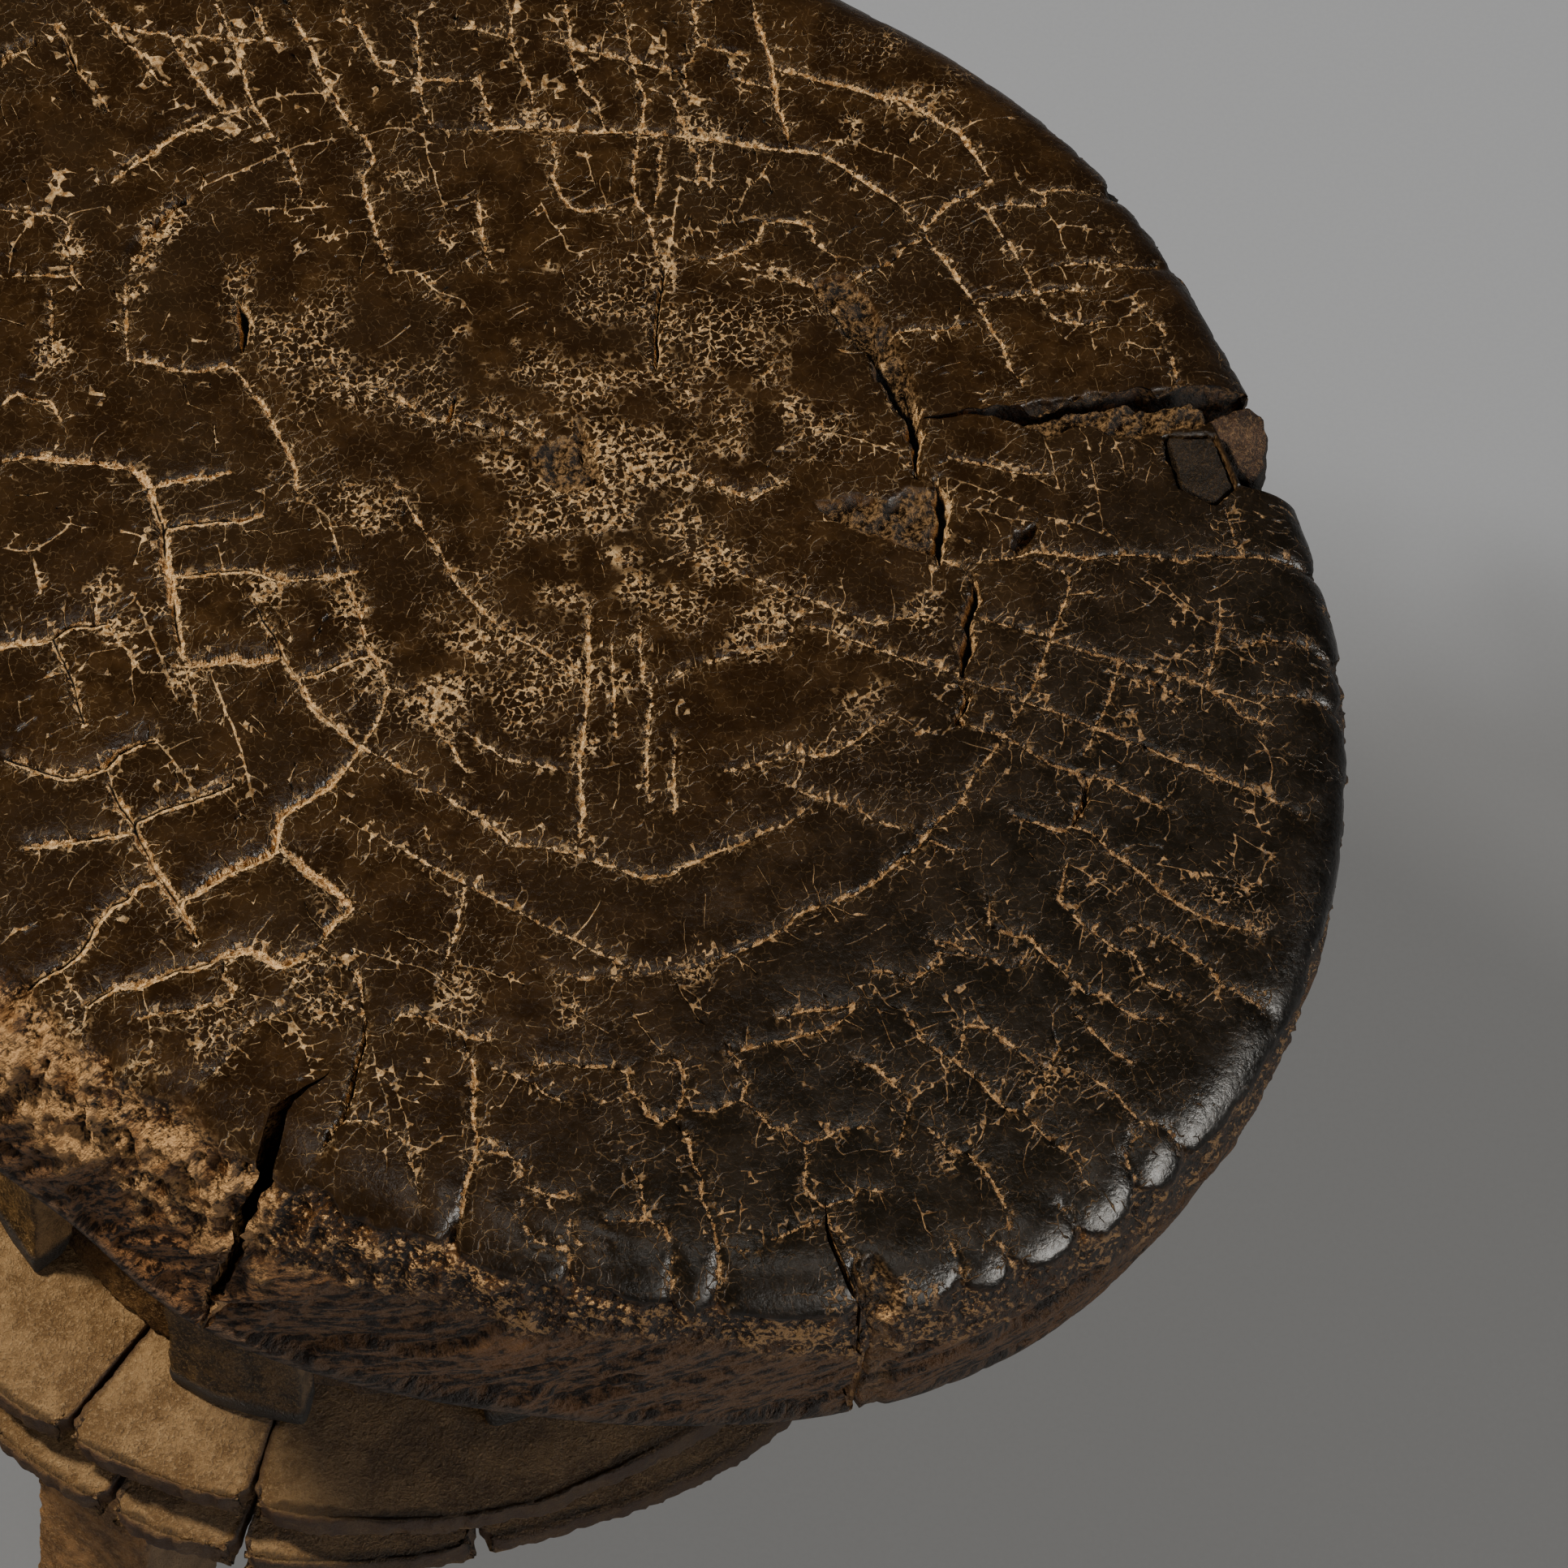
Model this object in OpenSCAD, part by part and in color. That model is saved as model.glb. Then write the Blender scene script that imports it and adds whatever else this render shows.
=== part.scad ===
// Old stool carved from one log, end grain upwards.
// An oval seat, which drying has split into blocks, stands on a ribbed drum.
// Two thin collars, split into sectors, ring the drum, and short ribbed legs carry it.
// Origin: bottom centre of the whole stool. +Z is up and -Y is the front.

/* [Seat] */
// Length of the oval seat
seat_length = 406; // [380:1:440]
// Width of the oval seat
seat_width = 286; // [270:1:320]
// Angle of the oval's long axis, from +X
seat_turn = -49.5; // [-60:0.5:-40]
// Height of the seat's rim, from its lower edge to its top
seat_thick = 60; // [45:1:75]
// Radius of the worn upper edge
rim_round = 11; // [6:1:16]
// How far the lower edge lies inside the widest line
rim_undercut = 9; // [2:1:14]
// Mean radius of the ring shake around the heart
shake_radius = 90; // [80:1:98]
// Width of the ring shake
shake_gap = 0.4; // [0.3:0.1:1]
// Width of an open radial split at the rim
split_gap = 3; // [1:0.5:5]
// Width of a closed radial split at the rim
check_gap = 0.8; // [0.4:0.1:1.2]
// Width of the splits where they meet the ring shake
inner_gap = 0.4; // [0.3:0.1:0.8]

/* [Rim damage] */
// Depth of the notch where the right wedge has lost its edge
notch_depth = 11; // [6:1:14]
// Thickness of the loose chip on the right wedge
chip_thick = 7; // [4:1:12]
// Clearance around the loose chip
chip_gap = 0.6; // [0.3:0.1:1]
// Height of the nub left in the notch
nub_height = 34; // [20:1:44]

/* [Bowl under the seat] */
// Height of the bowl-shaped underside
bowl_height = 25; // [15:1:40]
// How far the bowl's upper edge lies inside the seat's rim
bowl_inset = 20; // [14:1:30]

/* [Upper drum] */
// Height of the ribbed drum, from the upper collar to the bowl
drum_height = 124; // [80:1:150]
// Radius of the drum at its foot
drum_foot_r = 98; // [90:1:100]
// Radius of the drum at its waist
drum_waist_r = 80; // [60:1:88]
// Radius of the drum under the bowl
drum_head_r = 94; // [88:1:98]
// How far the toes of the upper ribs stand out from the drum's foot
rib_depth = 8; // [5:1:12]
// Angle that an upper rib fills
upper_rib_angle = 18; // [12:1:26]
// Height of the smooth lip along a rib's toe
toe_lip = 5; // [3:1:10]

/* [Collars] */
// Thickness of the upper collar
upper_collar_t = 9; // [6:1:14]
// Radius of the upper collar
upper_collar_r = 126; // [118:1:130]
// Thickness of the lower collar
lower_collar_t = 9; // [6:1:14]
// Radius of the lower collar
lower_collar_r = 130; // [122:1:134]
// Height of the groove between the collars
groove_height = 7; // [4:1:12]
// Radius at the bottom of the groove
groove_r = 112; // [100:1:116]
// Width of the collars' cracks at the edge
collar_crack = 1.6; // [0.6:0.2:3]

/* [Legs] */
// Height from the ground to the lower collar
leg_height = 96; // [60:1:130]
// How far the legs stand out from the lower drum, under the collar
leg_depth = 12; // [8:1:14]
// How much further out a leg stands on the ground
leg_flare = 20; // [10:1:26]
// Angle that a leg fills
leg_angle = 15; // [12:1:26]
// Radius of the lower drum behind the legs
lower_drum_r = 108; // [98:1:110]
// Height of the lower drum, from which the legs go down free
lower_drum_h = 34; // [24:1:44]
// Thickness of a leg on the ground
leg_t = 30; // [20:1:36]

/* [Hidden] */

// Levels, from the ground up
lower_collar_z = leg_height;
groove_z = lower_collar_z + lower_collar_t;
upper_collar_z = groove_z + groove_height;
drum_z = upper_collar_z + upper_collar_t;
bowl_z = drum_z + drum_height;
seat_z = bowl_z + bowl_height;

// Radii over the toes of the ribs and over the legs
toe_r = drum_foot_r + rib_depth;
leg_r = lower_drum_r + leg_depth;

// Carving by eye: each list goes round the stool from +X, one value every 15 degrees.
// Its lengths are given for a seat of this length, and grow with the seat.
carved_length = 406;
grow = seat_length / carved_length;
step = 15;
// Departure of the rim from a true oval
rim_bumps = [-3, -0.5, 0.5, -3.5, -9, -8, -5, -3, 0, 0, 0, 0,
             5, 6, 9, 9, 6.5, 4.5, 2, 0, 2.5, -2, -4, -3];
// Departure of the ring shake from its mean radius
shake_bumps = [-2, -3.5, -2.5, -1, -4.5, -12.5, -13.5, -11, -7, -7.5, -12, -21.5,
               -30, -32, -28, -18, -6.5, 5, 20, 30, 32.5, 31.5, 19, 7.5];
// Wear of the upper edge, deepest where the front left has crumbled
edge_wear = [0, 0, 0, 0, 0, 0, 0, 0, 0, 0, 0, 0,
             0, 1, 3, 4, 4, 5, 3, 1, 0, 0, 0, 0];
// Share of the undercut that the lower edge has
undercut_share = [1, 1, 1, 1, 1, 1, 1, 1, 1, 1, 1, 1,
                  1, 0.8, 0.4, 0, 0, 0, 0, 0.3, 1, 1, 0.8, 1];
// Departure of the upper collar from a circle
collar_bumps = [0, 1, 2, 0, -1, 0, 1, 2, 1, 0, -1, 1,
                2, 1, 3, 5, 2, 0.5, 0, 0, -2.5, 0, 1, 0];
// The same for the lower collar
lower_bumps = [0, 1, 2, 0, -1, 0, 1, 2, 1, 0, -1, 1,
               2, 1, 3, 5, 4, 3, -1, -4, -2.5, -1, 0, 0];

// The drum's axis lies behind and to the left of the seat's middle
drum_axis = grow * [-24, -15];

// Splits: angle at the shake, angle at the rim, bow of the line in degrees, width at the rim
split_front_left = [-98.6, -100.5, 3.9, split_gap];
split_front = [-67.7, -67.1, 2.1, check_gap];
split_right_low = [-16.4, -9.3, 1.7, check_gap];
split_right = [4, 4.6, 0, split_gap];
split_back = [49.7, 66, 1, check_gap];
split_back_left = [120, 116, 2, check_gap];
split_left = [172, 176, -2, check_gap];
// The same split counted one turn further round
function next_turn(s) = [s[0] + 360, s[1] + 360, s[2], s[3]];

// Ribs and legs stand at even steps from one that the front view shows
ribs_round = 9;
legs_round = 3;
first_rib = -109.5;
first_leg = -126.5;
// Cracks in the collars, as angles about the drum's axis
upper_cracks = [-125, -104.5, -30, 60, 150];
lower_cracks = [-119.5, -105.5, -81.5, 15, 120];

// Smooth curve through the values of a list that goes round
function lap(list, i) = list[(i % len(list) + len(list)) % len(list)];
function around(list, a) =
    let (i = floor(a / step), t = a / step - i,
         p = lap(list, i - 1), q = lap(list, i), r = lap(list, i + 1), s = lap(list, i + 2))
    q + t * (r - p + t * (2 * p - 5 * q + 4 * r - s + t * (3 * (q - r) + s - p))) / 2;
function carved(list, a) = grow * around(list, a);

function ray(a) = [cos(a), sin(a)];
function oval(a) =
    let (u = seat_length / 2, v = seat_width / 2, b = a - seat_turn)
    u * v / norm([v * cos(b), u * sin(b)]);
function rim(a) = oval(a) + carved(rim_bumps, a);
function shake(a) = shake_radius + carved(shake_bumps, a);

// The stool is centred on the box of its rim
rim_outline = [for (a = [0:2:358]) rim(a) * ray(a)];
rim_x = [for (p = rim_outline) p.x];
rim_y = [for (p = rim_outline) p.y];
centre = [max(rim_x) + min(rim_x), max(rim_y) + min(rim_y)] / 2;

// Levels of the rim, as heights above the seat's lower edge
edge_steps = [0, 30, 60, 90];
levels = concat(
    [0, 0.3 * seat_thick, 0.6 * seat_thick],
    [for (e = edge_steps) seat_thick - rim_round + rim_round * sin(e)]
);
// How far each level lies inside the widest line
function undercut(a, z) =
    let (under = max(0, 1 - z / (0.7 * seat_thick)))
    rim_undercut * around(undercut_share, a) * under;
function rounding(z) =
    let (up = max(0, z - seat_thick + rim_round) / rim_round)
    1.3 * rim_round * (1 - sqrt(max(0, 1 - up * up)));
function wear(a, z) = carved(edge_wear, a) * max(0, z / seat_thick - 0.5) * 2;
function inset(a, z) = undercut(a, z) + rounding(z) + wear(a, z);

// Notch in the right wedge, between its lower corner and the open split
notch_from = -3.9;
notch_to = 5;
notch_lean = 0.1;
function in_notch(a, cut) = cut && a > notch_from && a < notch_to;
function edge_r(a, z, cut) =
    rim(a) - (in_notch(a, cut) ? notch_depth + notch_lean * rounding(z) : inset(a, z));

// A point on a split: t runs from the shake to the rim, side is 1 or -1
function split_angle(s, t) = s[0] + (s[1] - s[0]) * t + s[2] * sin(180 * t);
function split_point(s, t, side, z, cut) =
    let (r_in = shake(s[0]) + shake_gap / 2,
         r_out = edge_r(s[1], z, cut),
         a = split_angle(s, t),
         gap = inner_gap + (s[3] - inner_gap) * t)
    (r_in + (r_out - r_in) * t) * ray(a) + side * gap / 2 * ray(a + 90);

wall_parts = 4;
arc_step = 4;
wedge_outer = [-7.5, -6, -4, -3.8, 0, 3];
// Angles at the rim, or at the shake, from one split to the next
function even(a0, a1, count) = [for (i = [0:count]) a0 + (a1 - a0) * i / count];
function arc_count(s0, s1) = ceil(max(s1[1] - s0[1], s1[0] - s0[0]) / arc_step);
function rim_angles(s0, s1, cut) =
    cut ? concat([s0[1]], wedge_outer, [s1[1]]) : even(s0[1], s1[1], arc_count(s0, s1));

// A point of a block, at one level: u runs from split to split, t from the shake to the rim
function block_point(s0, s1, outer, inner, i, t, z, cut) =
    let (n = len(outer) - 1, u = i / n)
    i == 0 ? split_point(s0, t, 1, z, cut)
    : i == n ? split_point(s1, t, -1, z, cut)
    : let (r_in = shake(inner[i]) + shake_gap / 2,
           r_out = edge_r(outer[i], z, cut),
           bow = (s0[2] * (1 - u) + s1[2] * u) * sin(180 * t))
      (r_in + (r_out - r_in) * t) * ray(inner[i] + (outer[i] - inner[i]) * t + bow);

// Closed skin through outlines that lie one above the other
module skin(outlines, heights) {
    n = len(outlines[0]);
    top = len(outlines) - 1;
    points = [for (k = [0:top]) for (p = outlines[k]) [p.x, p.y, heights[k]]];
    sides = [for (k = [0:top - 1]) for (i = [0:n - 1])
        let (j = (i + 1) % n, low = k * n, high = low + n)
        each [[low + i, high + i, high + j], [low + i, high + j, low + j]]];
    bottom_face = [for (i = [0:n - 1]) i];
    top_face = [for (i = [n - 1:-1:0]) top * n + i];
    polyhedron(points, concat([bottom_face], sides, [top_face]), convexity = 8);
}

module seat_place() {
    translate([-centre.x, -centre.y, seat_z]) children();
}

module drum_place() {
    translate([drum_axis.x - centre.x, drum_axis.y - centre.y, 0]) children();
}

// One outer block of the seat: walls through every level, and a grid over the top and the bottom
module seat_block(s0, s1, cut = false) {
    outer = rim_angles(s0, s1, cut);
    n = len(outer) - 1;
    m = wall_parts;
    inner = even(s0[0], s1[0], n);
    edge = concat(
        [for (j = [0:m - 1]) [0, j]],
        [for (i = [0:n - 1]) [i, m]],
        [for (j = [m:-1:1]) [n, j]],
        [for (i = [n:-1:1]) [i, 0]]
    );
    around_edge = len(edge);
    last = len(levels) - 1;
    inside = [for (i = [1:n - 1]) for (j = [1:m - 1]) [i, j]];
    function place(c, z) =
        let (p = block_point(s0, s1, outer, inner, c[0], c[1] / m, z, cut)) [p.x, p.y, z];
    function index(i, j, k) =
        i > 0 && i < n && j > 0 && j < m
            ? around_edge * (last + 1) + (k > 0 ? len(inside) : 0) + (i - 1) * (m - 1) + j - 1
        : around_edge * k
            + (i == 0 ? j : j == m ? m + i : i == n ? 2 * m + n - j : 2 * (m + n) - i);
    points = concat(
        [for (z = levels) for (c = edge) place(c, z)],
        [for (k = [0, last]) for (c = inside) place(c, levels[k])]
    );
    sides = [for (k = [0:last - 1]) for (i = [0:around_edge - 1])
        let (j = (i + 1) % around_edge, low = k * around_edge, high = low + around_edge)
        each [[low + i, high + i, high + j], [low + i, high + j, low + j]]];
    bottom_cells = [for (i = [0:n - 1]) for (j = [0:m - 1])
        [index(i, j, 0), index(i, j + 1, 0), index(i + 1, j + 1, 0), index(i + 1, j, 0)]];
    top_cells = [for (i = [0:n - 1]) for (j = [0:m - 1])
        [index(i, j, last), index(i + 1, j, last), index(i + 1, j + 1, last), index(i, j + 1, last)]];
    seat_place() polyhedron(points, concat(bottom_cells, sides, top_cells), convexity = 8);
}

// The heart of the seat, inside the ring shake
module seat_heart() {
    color("#3a2a1a") seat_place() linear_extrude(seat_thick)
        polygon([for (a = [0:4:356]) (shake(a) - shake_gap / 2) * ray(a)]);
}

// Loose chip: angle of each corner, and its distance inside the notch
chip_corners = [[0.4, 11], [0.3, 2.5], [-4, 2.5], [-5.5, 7.5], [-4.3, 12.5]];
chip_middle = [-2.5, 7];
function chip_point(c) = (rim(c[0]) - notch_depth - grow * c[1]) * ray(c[0]);
module chip_outline(room) {
    middle = chip_point(chip_middle);
    polygon([for (c = chip_corners)
        let (p = chip_point(c), away = p - middle)
        p + room * away / norm(away)]);
}

module rim_chip() {
    color("#2c2118") seat_place() translate([0, 0, seat_thick - chip_thick])
        linear_extrude(chip_thick) chip_outline(0);
}

module seat_wedge_right() {
    pocket_over = 1;
    color("#30231a") difference() {
        seat_block(split_right_low, split_right, true);
        seat_place() translate([0, 0, seat_thick - chip_thick])
            linear_extrude(chip_thick + pocket_over) chip_outline(chip_gap);
    }
}

// Nub: the bit of rim that still sits in the notch
nub_seat = 0.3;
nub_angles = [-1.8, -0.8, 1.5, 3.4, 4.4];
nub_below_rim = [6, 4, 1, 0, 2];
module rim_nub() {
    back = [for (a = [3.2, -1]) (rim(a) - notch_depth + nub_seat) * ray(a)];
    front = [for (i = [0:len(nub_angles) - 1])
        (rim(nub_angles[i]) - grow * nub_below_rim[i]) * ray(nub_angles[i])];
    color("#4a3322") seat_place() translate([0, 0, seat_thick - rim_round / 2 - nub_height])
        linear_extrude(nub_height) polygon(concat(back, front));
}

// The rounded underside that carries every block of the seat
module seat_bowl() {
    angles = [0:5:355];
    upper = [for (a = angles) (rim(a) - bowl_inset) * ray(a) - centre];
    lower = [for (a = angles) (toe_r - 0.25 * rib_depth) * ray(a) + drum_axis - centre];
    color("#3b2b1d") skin([lower, upper], [bowl_z, seat_z]);
}

// Drum profile: radius, share of the height
drum_profile = [
    [drum_foot_r, 0],
    [drum_foot_r - 0.45 * (drum_foot_r - drum_waist_r), 0.12],
    [drum_waist_r, 0.36],
    [drum_waist_r, 0.64],
    [drum_head_r - 0.4 * (drum_head_r - drum_waist_r), 0.88],
    [drum_head_r, 1]
];
function at_height(profile, z0, h) = [for (p = profile) [p[0], z0 + p[1] * h]];

module upper_drum() {
    wall = at_height(drum_profile, drum_z, drum_height);
    color("#4a3826") drum_place() rotate_extrude($fn = 96)
        polygon(concat([[0, drum_z]], wall, [[0, bowl_z]]));
}

// A rib keeps to the drum's wall and flares to a toe with a smooth lip
module upper_rib(i) {
    wall = at_height(drum_profile, drum_z, drum_height);
    back = [for (k = [len(wall) - 1:-1:0]) wall[k]];
    front = [
        [toe_r, drum_z],
        [toe_r, drum_z + toe_lip],
        [toe_r - 0.375 * rib_depth, drum_z + 0.16 * drum_height],
        [toe_r - 0.75 * rib_depth, drum_z + 0.45 * drum_height],
        [toe_r - 0.875 * rib_depth, drum_z + 0.75 * drum_height],
        [toe_r - 0.5 * rib_depth, bowl_z]
    ];
    turn = first_rib + 360 / ribs_round * (i - 1) - upper_rib_angle / 2;
    color("#7a6040") drum_place() rotate([0, 0, turn])
        rotate_extrude(angle = upper_rib_angle, $fn = 96) polygon(concat(front, back));
}

// One sector of a collar, from crack to crack
module collar_sector(radius, bumps, thick, z, cracks, i) {
    a0 = cracks[i];
    a1 = i + 1 < len(cracks) ? cracks[i + 1] : cracks[0] + 360;
    count = ceil((a1 - a0) / step * 2);
    slip = collar_crack / 2;
    closed_r = groove_r / 2;
    edge = [for (k = [0:count])
        let (a = a0 + (a1 - a0) * k / count)
        (radius + carved(bumps, a)) * ray(a)
            + (k == 0 ? slip : k == count ? -slip : 0) * ray(a + 90)];
    drum_place() translate([0, 0, z]) linear_extrude(thick)
        polygon(concat([[0, 0], closed_r * ray(a0)], edge, [closed_r * ray(a1)]));
}

module upper_collar(i) {
    color("#a78a5e") collar_sector(upper_collar_r, collar_bumps, upper_collar_t, upper_collar_z,
        upper_cracks, i);
}

module lower_collar(i) {
    color("#9c8057") collar_sector(lower_collar_r, lower_bumps, lower_collar_t, lower_collar_z,
        lower_cracks, i);
}

module collar_groove() {
    color("#5c4730") drum_place() translate([0, 0, groove_z])
        cylinder(r = groove_r, h = groove_height, $fn = 96);
}

// Lower drum: share of the distance that its wall draws in, share of the height
lower_draw = 2 * leg_depth;
lower_profile = [[1, 0], [0.5, 0.24], [0.17, 0.59], [0, 1]];
lower_drum_z = lower_collar_z - lower_drum_h;
function lower_wall() =
    [for (p = lower_profile)
        [lower_drum_r - p[0] * lower_draw, lower_drum_z + p[1] * lower_drum_h]];

module lower_drum() {
    color("#6b543a") drum_place() rotate_extrude($fn = 96)
        polygon(concat([[0, lower_drum_z]], lower_wall(), [[0, lower_collar_z]]));
}

// A leg keeps to the lower drum's wall, leans outwards and stands free on the ground
module leg(i) {
    wall = lower_wall();
    back = [for (k = [len(wall) - 1:-1:0]) wall[k]];
    front = [
        [leg_r + leg_flare - leg_t, 0],
        [leg_r + leg_flare, 0],
        [leg_r + 0.94 * leg_flare, toe_lip],
        [leg_r, lower_collar_z]
    ];
    turn = first_leg + 360 / legs_round * (i - 1) - leg_angle / 2;
    color("#8c7150") drum_place() rotate([0, 0, turn])
        rotate_extrude(angle = leg_angle, $fn = 96) polygon(concat(front, back));
}

module seat_block_back_right() {
    color("#2e2116") seat_block(split_right, split_back);
}

module seat_block_back() {
    color("#33251a") seat_block(split_back, split_back_left);
}

module seat_block_back_left() {
    color("#2f2218") seat_block(split_back_left, split_left);
}

module seat_block_left() {
    color("#35281c") seat_block(split_left, next_turn(split_front_left));
}

module seat_block_front() {
    color("#312419") seat_block(split_front_left, split_front);
}

module seat_block_front_right() {
    color("#2b2018") seat_block(split_front, split_right_low);
}

seat_heart();
seat_wedge_right();
seat_block_back_right();
seat_block_back();
seat_block_back_left();
seat_block_left();
seat_block_front();
seat_block_front_right();
rim_chip();
rim_nub();
seat_bowl();
upper_drum();
upper_rib(1);  // upper_rib_1
upper_rib(2);  // upper_rib_2
upper_rib(3);  // upper_rib_3
upper_rib(4);  // upper_rib_4
upper_rib(5);  // upper_rib_5
upper_rib(6);  // upper_rib_6
upper_rib(7);  // upper_rib_7
upper_rib(8);  // upper_rib_8
upper_rib(9);  // upper_rib_9
upper_collar(0);  // upper_collar_front_left
upper_collar(1);  // upper_collar_front
upper_collar(2);  // upper_collar_right
upper_collar(3);  // upper_collar_back
upper_collar(4);  // upper_collar_left
collar_groove();
lower_collar(0);  // lower_collar_front
lower_collar(1);  // lower_collar_front_right
lower_collar(2);  // lower_collar_right
lower_collar(3);  // lower_collar_back
lower_collar(4);  // lower_collar_left
lower_drum();
leg(1);  // leg_1
leg(2);  // leg_2
leg(3);  // leg_3
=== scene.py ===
import math

import bpy
import numpy as np
from mathutils import Matrix, Vector
from mathutils.kdtree import KDTree


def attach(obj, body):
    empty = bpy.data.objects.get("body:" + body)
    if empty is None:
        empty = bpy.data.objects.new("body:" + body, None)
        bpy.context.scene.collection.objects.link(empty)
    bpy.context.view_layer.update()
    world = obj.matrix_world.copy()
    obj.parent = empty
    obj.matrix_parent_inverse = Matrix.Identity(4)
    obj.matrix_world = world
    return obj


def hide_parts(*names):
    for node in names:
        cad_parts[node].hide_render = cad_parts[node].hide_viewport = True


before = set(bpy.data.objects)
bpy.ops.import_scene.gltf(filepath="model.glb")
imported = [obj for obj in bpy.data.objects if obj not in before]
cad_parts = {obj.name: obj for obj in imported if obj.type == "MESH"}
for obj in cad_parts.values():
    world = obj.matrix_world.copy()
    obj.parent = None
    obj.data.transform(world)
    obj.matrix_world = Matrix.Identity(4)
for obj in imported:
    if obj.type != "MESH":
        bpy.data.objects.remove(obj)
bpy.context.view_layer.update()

# All lengths below are in millimetres until a mesh is made.
MM = 0.001
COARSE = 1.0
rng = np.random.default_rng(11)


# Camera, as the photograph was taken: 60 degrees above the horizon, 100 mm lens
PICTURE = 1932
LENS = 100.0
SENSOR = 36.0
PIXELS = LENS / SENSOR * PICTURE
SEAT_TOP = 330.0
tilt = math.radians(60)
forward = np.array([0.0, math.cos(tilt), -math.sin(tilt)])
right = np.array([1.0, 0.0, 0.0])
above = np.cross(right, forward)
aim = np.array([62.0, -76.0, SEAT_TOP])
EYE_DISTANCE = 800.0
eye = aim - EYE_DISTANCE * forward


def from_picture(points):
    """Points on the seat's top from picture points, given in a row as x, y, x, y."""
    px, py = (np.reshape(points, (-1, 2)).T - PICTURE / 2) / PIXELS
    sight = forward + px[..., None] * right - py[..., None] * above
    return (eye + ((SEAT_TOP - eye[2]) / sight[..., 2])[..., None] * sight)[..., :2]


# Outline of the seat, the same as in the solids. Each list goes round from +X.
STEP = 15.0
SEAT_LONG, SEAT_SHORT, SEAT_TURN = 203.0, 143.0, 49.5
SHAKE_RADIUS = 90.0
rim_bumps = [-3, -0.5, 0.5, -3.5, -9, -8, -5, -3, 0, 0, 0, 0,
             5, 6, 9, 9, 6.5, 4.5, 2, 0, 2.5, -2, -4, -3]
shake_bumps = [-2, -3.5, -2.5, -1, -4.5, -12.5, -13.5, -11, -7, -7.5, -12, -21.5,
               -30, -32, -28, -18, -6.5, 5, 20, 30, 32.5, 31.5, 19, 7.5]
edge_wear = [0, 0, 0, 0, 0, 0, 0, 0, 0, 0, 0, 0, 0, 1, 3, 4, 4, 5, 3, 1, 0, 0, 0, 0]
undercut_share = [1, 1, 1, 1, 1, 1, 1, 1, 1, 1, 1, 1,
                  1, 0.8, 0.4, 0, 0, 0, 0, 0.3, 1, 1, 0.8, 1]
collar_bumps = [0, 1, 2, 0, -1, 0, 1, 2, 1, 0, -1, 1,
                2, 1, 3, 5, 2, 0.5, 0, 0, -2.5, 0, 1, 0]
lower_bumps = [0, 1, 2, 0, -1, 0, 1, 2, 1, 0, -1, 1,
               2, 1, 3, 5, 4, 3, -1, -4, -2.5, -1, 0, 0]
THICK, ROUND, UNDERCUT = 60.0, 11.0, 9.0
SEAT_LOW = SEAT_TOP - THICK
# Depth of the right wedge's notch, the angles it goes from and to, and the chip's thickness
NOTCH, NOTCH_FROM, NOTCH_TO, CHIP = 11.0, -3.9, 5.0, 7.0
drum_axis = np.array([-24.0, -15.0])
# Splits: angle at the shake, angle at the rim, bow in degrees, width at the rim
splits = {
    "front_left": (-98.6, -100.5, 3.9, 3.0),
    "front": (-67.7, -67.1, 2.1, 0.8),
    "right_low": (-16.4, -9.3, 1.7, 0.8),
    "right": (4.0, 4.6, 0.0, 3.0),
    "back": (49.7, 66.0, 1.0, 0.8),
    "back_left": (120.0, 116.0, 2.0, 0.8),
    "left": (172.0, 176.0, -2.0, 0.8),
}
# Where a split stands open in the photograph: width, from which share of the way to the rim
opened = {"front_left": (2.2, 0.78), "front": (0.8, 0.84), "right": (3.0, 0.0)}
# The split that leans on its way down the side, and how far
LEANING, LEAN = "front_left", 17.0


def around(values, angle):
    """Smooth curve through the values of a list that goes round."""
    values = np.asarray(values, float)
    a = np.asarray(angle, float) / STEP
    i = np.floor(a).astype(int)
    t = a - i
    p, q, r, s = (values[(i + k) % len(values)] for k in (-1, 0, 1, 2))
    return q + t * (r - p + t * (2 * p - 5 * q + 4 * r - s + t * (3 * (q - r) + s - p))) / 2


def ray(angle):
    a = np.radians(angle)
    return np.stack([np.cos(a), np.sin(a)], -1)


def rim(angle):
    b = np.radians(np.asarray(angle, float) + SEAT_TURN)
    oval = SEAT_LONG * SEAT_SHORT / np.hypot(SEAT_SHORT * np.cos(b), SEAT_LONG * np.sin(b))
    return oval + around(rim_bumps, angle)


def shake(angle):
    return SHAKE_RADIUS + around(shake_bumps, angle)


outline = rim(np.arange(0, 360, 2))[:, None] * ray(np.arange(0, 360, 2))
centre = (outline.max(0) + outline.min(0)) / 2


def rounding(z):
    """How far the rounded edge draws in at a height above the seat's lower edge."""
    up = np.clip((z - THICK + ROUND) / ROUND, 0, 1)
    return 1.3 * ROUND * (1 - np.sqrt(1 - up * up))


def edge_r(angle, z, cut):
    """Radius of the seat's side at a height, with the right wedge's notch where cut is true."""
    under = UNDERCUT * around(undercut_share, angle) * np.maximum(0, 1 - z / (0.7 * THICK))
    wear = around(edge_wear, angle) * np.maximum(0, z / THICK - 0.5) * 2
    plain = rim(angle) - (under + rounding(z) + wear)
    if not cut:
        return plain
    broken = rim(angle) - NOTCH - 0.1 * rounding(z)
    return np.where((angle > NOTCH_FROM) & (angle < NOTCH_TO), broken, plain)


# Smooth random values, the same on each run
LATTICE = 64
lattice = rng.random((LATTICE,) * 3)


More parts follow.
